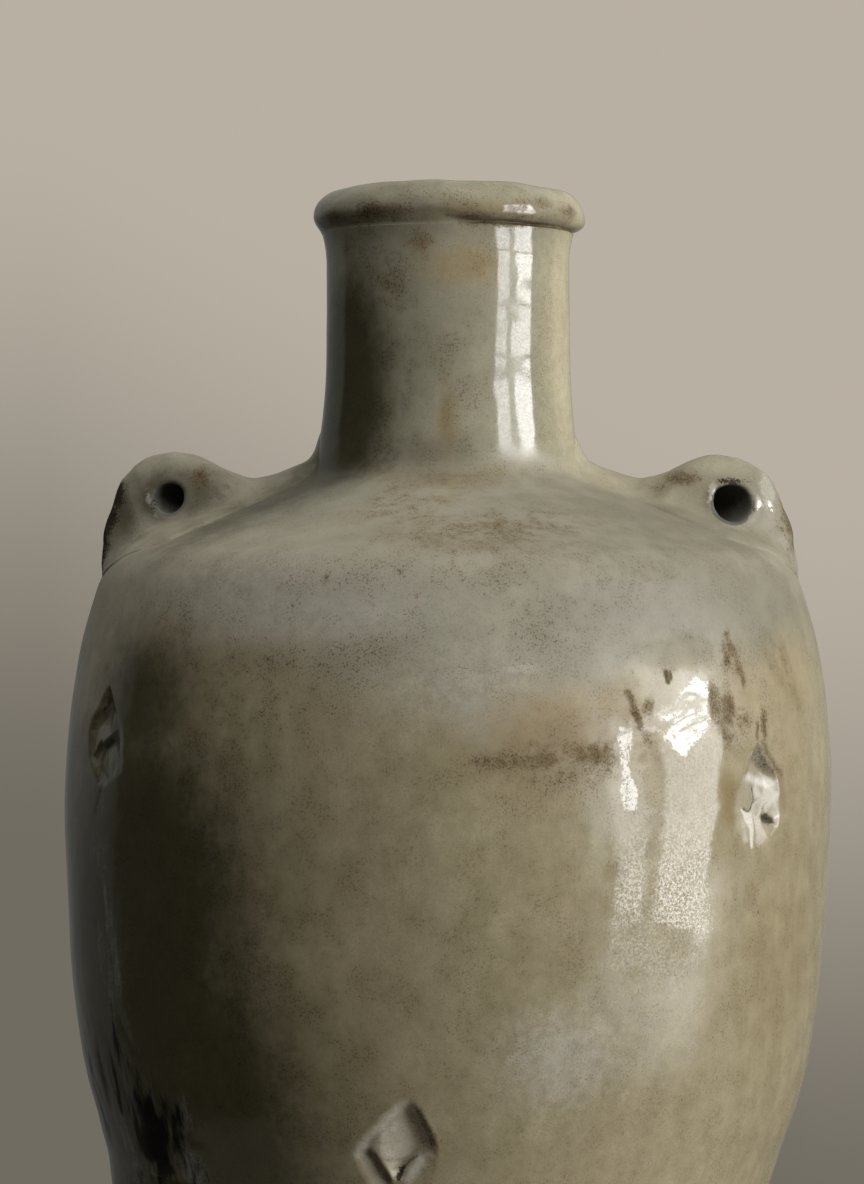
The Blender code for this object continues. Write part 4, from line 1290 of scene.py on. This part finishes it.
# Patches laid by themselves: where each begins and is full, unevenness of its edge and strength
EDGES = {
    "ash": (0.15, 0.85), "painted_sheen": (0.3, 1.1), "black": (0.4, 0.85), "gloss_and_highlight": (0.45, 0.75),
    "satin": (0.2, 0.8), "brown_and_shade": (0.3, 0.9), "iron": (0.4, 0.9),
}
SHEEN_EDGE = (0, 0.6, 0.8)
GLOSS_EDGE = (0.4, 1.9, 2.2)
SATIN_EDGE = (0.3, 0.8, 0.4)
SHEEN_STRENGTH = 0.85
BLACK_STRENGTH = 0.95
HIGHLIGHT_STRENGTH = 0.35
# Noises: size of their blobs in mm, detail, roughness and, where they are drawn out, how small each way
NOISES = {
    "broad": (45, 3, 0.55), "mottle": (9, 4, 0.6), "fine": (2.4, 4, 0.6), "grain": (0.5, 2, 0.6),
    "sparkle": (0.6, 3, 0.7), "streaks": (7, 5, 0.6, (1, 1, 0.6)), "flow": (4, 4, 0.6, (1, 1, 0.2)),
    "clay": (18, 4, 0.55), "grog": (0.8, 3, 0.65), "rings": (4, 3, 0.55, (0.2, 0.2, 4)),
    "floor": (30, 3, 0.55),
}
# Ramps: where a value begins to tell and has its full say, and what it says at each end
RAMPS = {
    "broad": (0.38, 0.62), "streaks": (0.35, 0.7), "present": (0.02, 0.2), "specks": (0.46, 0.66),
    "swarms": (0.36, 0.62, 0.25, 0.95), "fine tone": (0.3, 0.7, 0.93, 1.05),
    "grain tone": (0.3, 0.7, 0.8, 1.17), "ash roughness": (0, 1, 0.24, 0.55),
    "neck roughness": (0, 1, 1, 0.16), "lively": (0.135, 0.16, 1, 0.3), "sparkle": (0.38, 0.66, 0.25, 2.5),
    "neck sparkle": (0.36, 0.68, 0.85, 1.5), "dull shine": (0, 1, 1, 0.25), "black shine": (0, 1, 1, 0.1),
    "satin shine": (0, 1, 0.5, 0.26), "pool shine": (0, 1, 0, 0.8), "fine bump": (0, 1, 0.8, 0.1),
    "grain bump": (0, 1, 0.25, 0.1), "clay": (0.35, 0.65), "grog": (0.58, 0.68), "rings": (0.55, 0.7),
    "clay roughness": (0.3, 0.7, 0.72, 0.92),
}
# Flow of the runs: how strongly it tears their edges
FLOW = 2.4
FINE_ROUGHNESS = 0.1
# What makes the glaze rougher, and by how much
ROUGHER = (("matt", 0.35), ("hollow", 0.1), ("dull", 0.3))
# What makes it smoother: from where to where, and the share of the roughness that is left
SMOOTHER = (("dark_glaze_and_shade", 0.3, 1.0, 0.6), ("satin", 0, 1, 0.36), ("run", 0.1, 0.6, 0.8), ("pool_and_highlight", 0, 1, 0.2))
GLAZE_IOR = 1.52
GLAZE_BUMP = 0.03
CLAY_BUMP = 0.15
GROG_STRENGTH = 0.55
RING_STRENGTH = 0.25
RING_HEIGHT = 0.8


def glaze_material(name):
    """Ash glaze over olive: patches, fine iron specks, soft streaks and a lively gloss, with painted
    highlights, sheen and shade laid into its colour.
    """
    material, n, shader = new_material(name)
    broad, mottle, fine, grain, streaks, sparkle = (
        n.noise(*NOISES[kind]) for kind in ("broad", "mottle", "fine", "grain", "streaks", "sparkle"))

    def unevenness(*shares):
        """Sum of the noises, each with its own share and about 0."""
        total = 0.0
        for noise, share in zip((mottle, fine, grain), shares):
            total = n.maths("MULTIPLY_ADD", noise, share, total)
        return n.maths("SUBTRACT", total, sum(shares) / 2)

    soft = unevenness(*SOFT)

    def patch(mask, low=0.1, high=1.0, edge=soft):
        """Share of a patch with an uneven edge, none where the mask is empty."""
        share = n.ramp(n.plus(n.mask(mask), edge), low, high)
        return n.times(share, n.ramp(n.mask(mask), *RAMPS["present"]))

    def lay(colour, share, strength, top):
        return n.mix(n.times(share, strength), colour, top)

    streaked = n.ramp(streaks, *RAMPS["streaks"])
    olive = n.mix(streaked, OLIVE, OLIVE_PALE)
    ash = n.mix(n.ramp(broad, *RAMPS["broad"]), ASH, ASH_GREEN)
    neck = n.mix(streaked, NECK_GREEN, ASH)
    colour = n.mix(patch("ash", *EDGES["ash"], n.times(soft, ASH_RAGGED)), olive, ash)
    colour = lay(colour, n.mask("neck"), NECK_STRENGTH, neck)
    for mask, top, strength, low, high, shares, factor in LAYERS:
        if shares is None:
            colour = lay(colour, n.mask(mask), strength, top)
            continue
        edge = soft if shares == SOFT else unevenness(*shares)
        edge = edge if factor == 1 else n.times(edge, factor)
        colour = lay(colour, patch(mask, low, high, edge), strength, top)
    flow = n.times(n.maths("SUBTRACT", n.noise(*NOISES["flow"]), 0.5), FLOW)
    # Painted sheen of the room's reflection, laid into the colour
    painted_sheen = patch("painted_sheen", *EDGES["painted_sheen"], n.plus(flow, unevenness(*SHEEN_EDGE)))
    colour = lay(colour, painted_sheen, SHEEN_STRENGTH, SHEEN_PAINT)
    black = patch("black", *EDGES["black"], flow)
    colour = lay(colour, black, BLACK_STRENGTH, BLACK)
    # Glossy pools, with a painted highlight laid into their colour
    pool_and_highlight = patch("gloss_and_highlight", *EDGES["gloss_and_highlight"], unevenness(*GLOSS_EDGE))
    colour = lay(colour, pool_and_highlight, HIGHLIGHT_STRENGTH, HIGHLIGHT_PAINT)
    specks = n.times(n.ramp(grain, *RAMPS["specks"]), n.ramp(mottle, *RAMPS["swarms"]))
    colour = n.mix(specks, colour, SPECK_TINT, "MULTIPLY")
    tone = n.times(n.ramp(fine, *RAMPS["fine tone"]), n.ramp(grain, *RAMPS["grain tone"]))
    grey = n.add("ShaderNodeCombineColor", Red=tone, Green=tone, Blue=tone).outputs[0]
    n.put(shader["Base Color"], n.mix(1.0, colour, grey, "MULTIPLY"))

    satin = patch("satin", *EDGES["satin"], unevenness(*SATIN_EDGE))
    calm = n.most(n.most(satin, pool_and_highlight), n.most(n.mask("neck"), n.mask("dark_glaze_and_shade")))
    dull = n.most(n.most(patch("brown_and_shade", *EDGES["brown_and_shade"]), patch("iron", *EDGES["iron"], unevenness(*GRIT))),
                  n.most(n.mask("shade"), n.mask("bore")))
    given = {"satin": satin, "pool_and_highlight": pool_and_highlight, "dull": dull, "matt": patch("matt"), "hollow": n.mask("hollow"),
             "dark_glaze_and_shade": n.mask("dark_glaze_and_shade"), "run": n.mask("run")}
    rough = n.ramp(n.mask("ash"), *RAMPS["ash roughness"])
    rough = n.times(rough, n.ramp(n.mask("neck"), *RAMPS["neck roughness"]))
    rough = n.plus(rough, n.times(n.maths("SUBTRACT", fine, 0.5), FINE_ROUGHNESS))
    for what, more in ROUGHER:
        rough = n.maths("MULTIPLY_ADD", given[what], more, rough)
    for what, low, high, left in SMOOTHER:
        rough = n.times(rough, n.ramp(given[what], low, high, 1, left))
    n.put(shader["Roughness"], rough)

    level = n.add("ShaderNodeSeparateXYZ", Vector=n.place).outputs["Z"]
    lively = n.times(satin, n.ramp(level, *RAMPS["lively"]))
    shine = n.ramp(satin, *RAMPS["satin shine"])
    shine = n.times(shine, n.mix(lively, PLAIN, n.ramp(sparkle, *RAMPS["sparkle"])))
    shine = n.times(shine, n.mix(n.mask("neck"), PLAIN, n.ramp(sparkle, *RAMPS["neck sparkle"])))
    shine = n.times(shine, n.ramp(dull, *RAMPS["dull shine"]))
    shine = n.most(shine, n.ramp(pool_and_highlight, *RAMPS["pool shine"]))
    n.put(shader["Specular IOR Level"], n.times(shine, n.ramp(black, *RAMPS["black shine"])))
    height = n.plus(n.times(fine, n.ramp(calm, *RAMPS["fine bump"])),
                    n.times(grain, n.ramp(calm, *RAMPS["grain bump"])))
    n.put(shader["Normal"], n.bump(GLAZE_BUMP, height))
    shader["IOR"].default_value = GLAZE_IOR
    return material


def clay_material(name):
    """Bare stoneware body: rough, with grog and toasted patches."""
    material, n, shader = new_material(name)
    broad, grog, rings = (n.noise(*NOISES[kind]) for kind in ("clay", "grog", "rings"))
    colour = n.mix(n.ramp(broad, *RAMPS["clay"]), CLAY, CLAY_PALE)
    colour = n.mix(n.times(n.ramp(grog, *RAMPS["grog"]), GROG_STRENGTH), colour, SPECK)
    colour = n.mix(n.times(n.ramp(rings, *RAMPS["rings"]), RING_STRENGTH), colour, CLAY_PALE)
    n.put(shader["Base Color"], colour)
    n.put(shader["Roughness"], n.ramp(grog, *RAMPS["clay roughness"]))
    n.put(shader["Normal"], n.bump(CLAY_BUMP, n.plus(grog, n.times(rings, RING_HEIGHT))))
    return material


# ---------------------------------------------------------------- pieces

def put(piece, node):
    """Hangs a piece under the root body and hides the part of the node it stands for."""
    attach(piece, "root")
    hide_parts(node)


def make_pieces():
    """All the pieces of the vase, from the foot up."""
    body, shoulder, neck, lip, lug = (
        glaze_material(name + "_glaze") for name in ("body", "shoulder", "neck", "lip", "lug"))
    put(foot_shape().build("turned_foot", clay_material("bare_clay")), "foot_ring")
    put(lower_body_shape().build("thrown_bowl", body), "lower_body")
    upper_shape = tube_shape(JOINT_PATH, COLLAR_PATH, ROW_HEIGHT, fine_windows())
    put(upper_shape.build("thrown_shoulder", shoulder), "upper_body")
    neck_shape = tube_shape(COLLAR_PATH, LIP_PATH, NECK_ROW_HEIGHT, [])
    put(neck_shape.build("thrown_neck", neck), "neck")
    put(lip_shape().build("rolled_lip", lip), "lip_ring")
    put(lug_object("lug_left", "pierced_ear_left", LEFT_CREST, -1, lug), "lug_left")
    put(lug_object("lug_right", "pierced_ear_right", RIGHT_CREST, 1, lug), "lug_right")


# ---------------------------------------------------------------- light, floor and camera

WINDOW_DISTANCE = 1200.0
# The first pane, which fills the whole window, stands this far behind the others
PANE_GAP = 20.0
# Panes: turn of the left and right edges, level of the bottom and top, radiance
PANES = (
    (46.5, 82, -160, 900, 2), (46.5, 56.7, -100, 331, 4.1), (61.7, 82, -100, 331, 5.6),
    (46.5, 58.7, 366, 900, 4), (66, 82, 366, 900, 7.2), (46.5, 82, -260, -160, 3),
    (46.5, 82, -380, -260, 1.6),
)
# Ceiling: size along x and y, place, aim, radiance
CEILING = (1800, 1500, (50, -520, 1400), (0, 0, 200), 2.25)
# Wall behind the vase as the camera sees it, above and below
WALL_TOP = (0.482, 0.434, 0.365)
WALL_LOW = (0.165, 0.150, 0.122)
# Room as the glaze mirrors it: the wall's left and right, its foot, and the rest
MIRROR_LEFT = (0.20, 0.202, 0.192)
MIRROR_RIGHT = (0.42, 0.39, 0.33)
MIRROR_LOW = (0.03, 0.03, 0.026)
MIRROR_FRONT = (0.035, 0.035, 0.03)
# Plain light that the room throws on the vase from the left and from the right
FILL_LEFT = (0.035, 0.034, 0.03)
FILL_RIGHT = (0.13, 0.125, 0.115)
# Ramps across the room: tilt and height of the horizon, span and foot of the wall, its edge, the fill
HORIZON_TILT = (-0.1, 0.1, -0.05, 0.05)
HORIZON = (-0.12, 0.08)
WALL_SPAN = (-0.5, 0.6)
WALL_FOOT = (-0.35, 0.25, 0.75, 0.0)
WALL_EDGE = (0.38, 0.50)
FILL_SPAN = (-0.7, 0.7)
FLOOR_RADIUS = 210.0
FLOOR_SIDES = 96
FLOOR_COLOURS = ((0.42, 0.385, 0.33), (0.45, 0.41, 0.355))
FLOOR_MIRRORED = (0.16, 0.15, 0.125)
FLOOR_ROUGHNESS = 0.85
CAMERA_PLACE = (-4.2, -1000.0, 210.1)
CAMERA_LENS = 116.0
CAMERA_SENSOR = 36.0
CAMERA_CLIP = (0.05, 50.0)


def add_light(name, size_x, size_y, place, aim, radiance):
    """Rectangular light that the camera doesn't see."""
    lamp = bpy.data.lights.new(name, "AREA")
    lamp.shape = "RECTANGLE"
    lamp.size = size_x * MM
    lamp.size_y = size_y * MM
    lamp.energy = radiance * 4 * size_x * size_y * MM * MM
    item = linked(name, lamp)
    item.location = Vector(place) * MM
    item.rotation_euler = (Vector(aim) - Vector(place)).to_track_quat("-Z", "Y").to_euler()
    item.visible_camera = False
    return item


def make_light():
    """Window on the right, soft light from above and the room's walls."""
    for number, (left, right, bottom, top, radiance) in enumerate(PANES):
        angle = math.radians((left + right) / 2)
        distance = WINDOW_DISTANCE + (PANE_GAP if number == 0 else 0)
        aim = (0, 0, (bottom + top) / 2)
        place = (distance * math.sin(angle), -distance * math.cos(angle), aim[2])
        width = 2 * distance * math.tan(math.radians(right - left) / 2)
        add_light("window_%d" % number, width, top - bottom, place, aim, radiance)
    add_light("ceiling", *CEILING).visible_glossy = False
    world = bpy.data.worlds.new("room")
    bpy.context.scene.world = world
    n = Nodes(world)
    direction = n.add("ShaderNodeTexCoord").outputs["Generated"]
    x, y, z = n.add("ShaderNodeSeparateXYZ", Vector=direction).outputs
    height = n.ramp(n.plus(z, n.ramp(x, *HORIZON_TILT, "LINEAR")), *HORIZON)
    backdrop = n.mix(height, WALL_LOW, WALL_TOP)
    wall = n.mix(n.ramp(x, *WALL_SPAN), MIRROR_LEFT, MIRROR_RIGHT)
    wall = n.mix(n.ramp(z, *WALL_FOOT), wall, MIRROR_LOW)
    room = n.mix(n.ramp(y, *WALL_EDGE), MIRROR_FRONT, wall)
    fill = n.mix(n.ramp(x, *FILL_SPAN), FILL_LEFT, FILL_RIGHT)
    path = n.add("ShaderNodeLightPath").outputs
    colour = n.mix(path["Is Glossy Ray"], fill, room)
    n.put(n.tree.nodes["Background"].inputs["Color"], n.mix(path["Is Camera Ray"], colour, backdrop))


def make_floor():
    """Round pale disc that the vase stands on."""
    shape = bmesh.new()
    bmesh.ops.create_circle(shape, cap_ends=True, segments=FLOOR_SIDES, radius=FLOOR_RADIUS * MM)
    mesh = bpy.data.meshes.new("floor")
    shape.to_mesh(mesh)
    shape.free()
    material, n, shader = new_material("floor")
    pale = n.mix(n.noise(*NOISES["floor"]), *FLOOR_COLOURS)
    glossy = n.add("ShaderNodeLightPath").outputs["Is Glossy Ray"]
    n.put(shader["Base Color"], n.mix(glossy, pale, FLOOR_MIRRORED))
    shader["Roughness"].default_value = FLOOR_ROUGHNESS
    mesh.materials.append(material)
    item = linked("floor", mesh)


def make_camera():
    """Camera in front of the vase, level with its shoulder."""
    camera = bpy.data.cameras.new("camera")
    camera.sensor_fit = "VERTICAL"
    camera.sensor_height = CAMERA_SENSOR
    camera.lens = CAMERA_LENS
    camera.clip_start, camera.clip_end = CAMERA_CLIP
    item = linked("camera", camera)
    item.location = Vector(CAMERA_PLACE) * MM
    item.rotation_euler = (math.pi / 2, 0, 0)
    bpy.context.scene.camera = item


make_pieces()
make_light()
make_floor()
make_camera()
bpy.context.scene.view_settings.view_transform = "Standard"
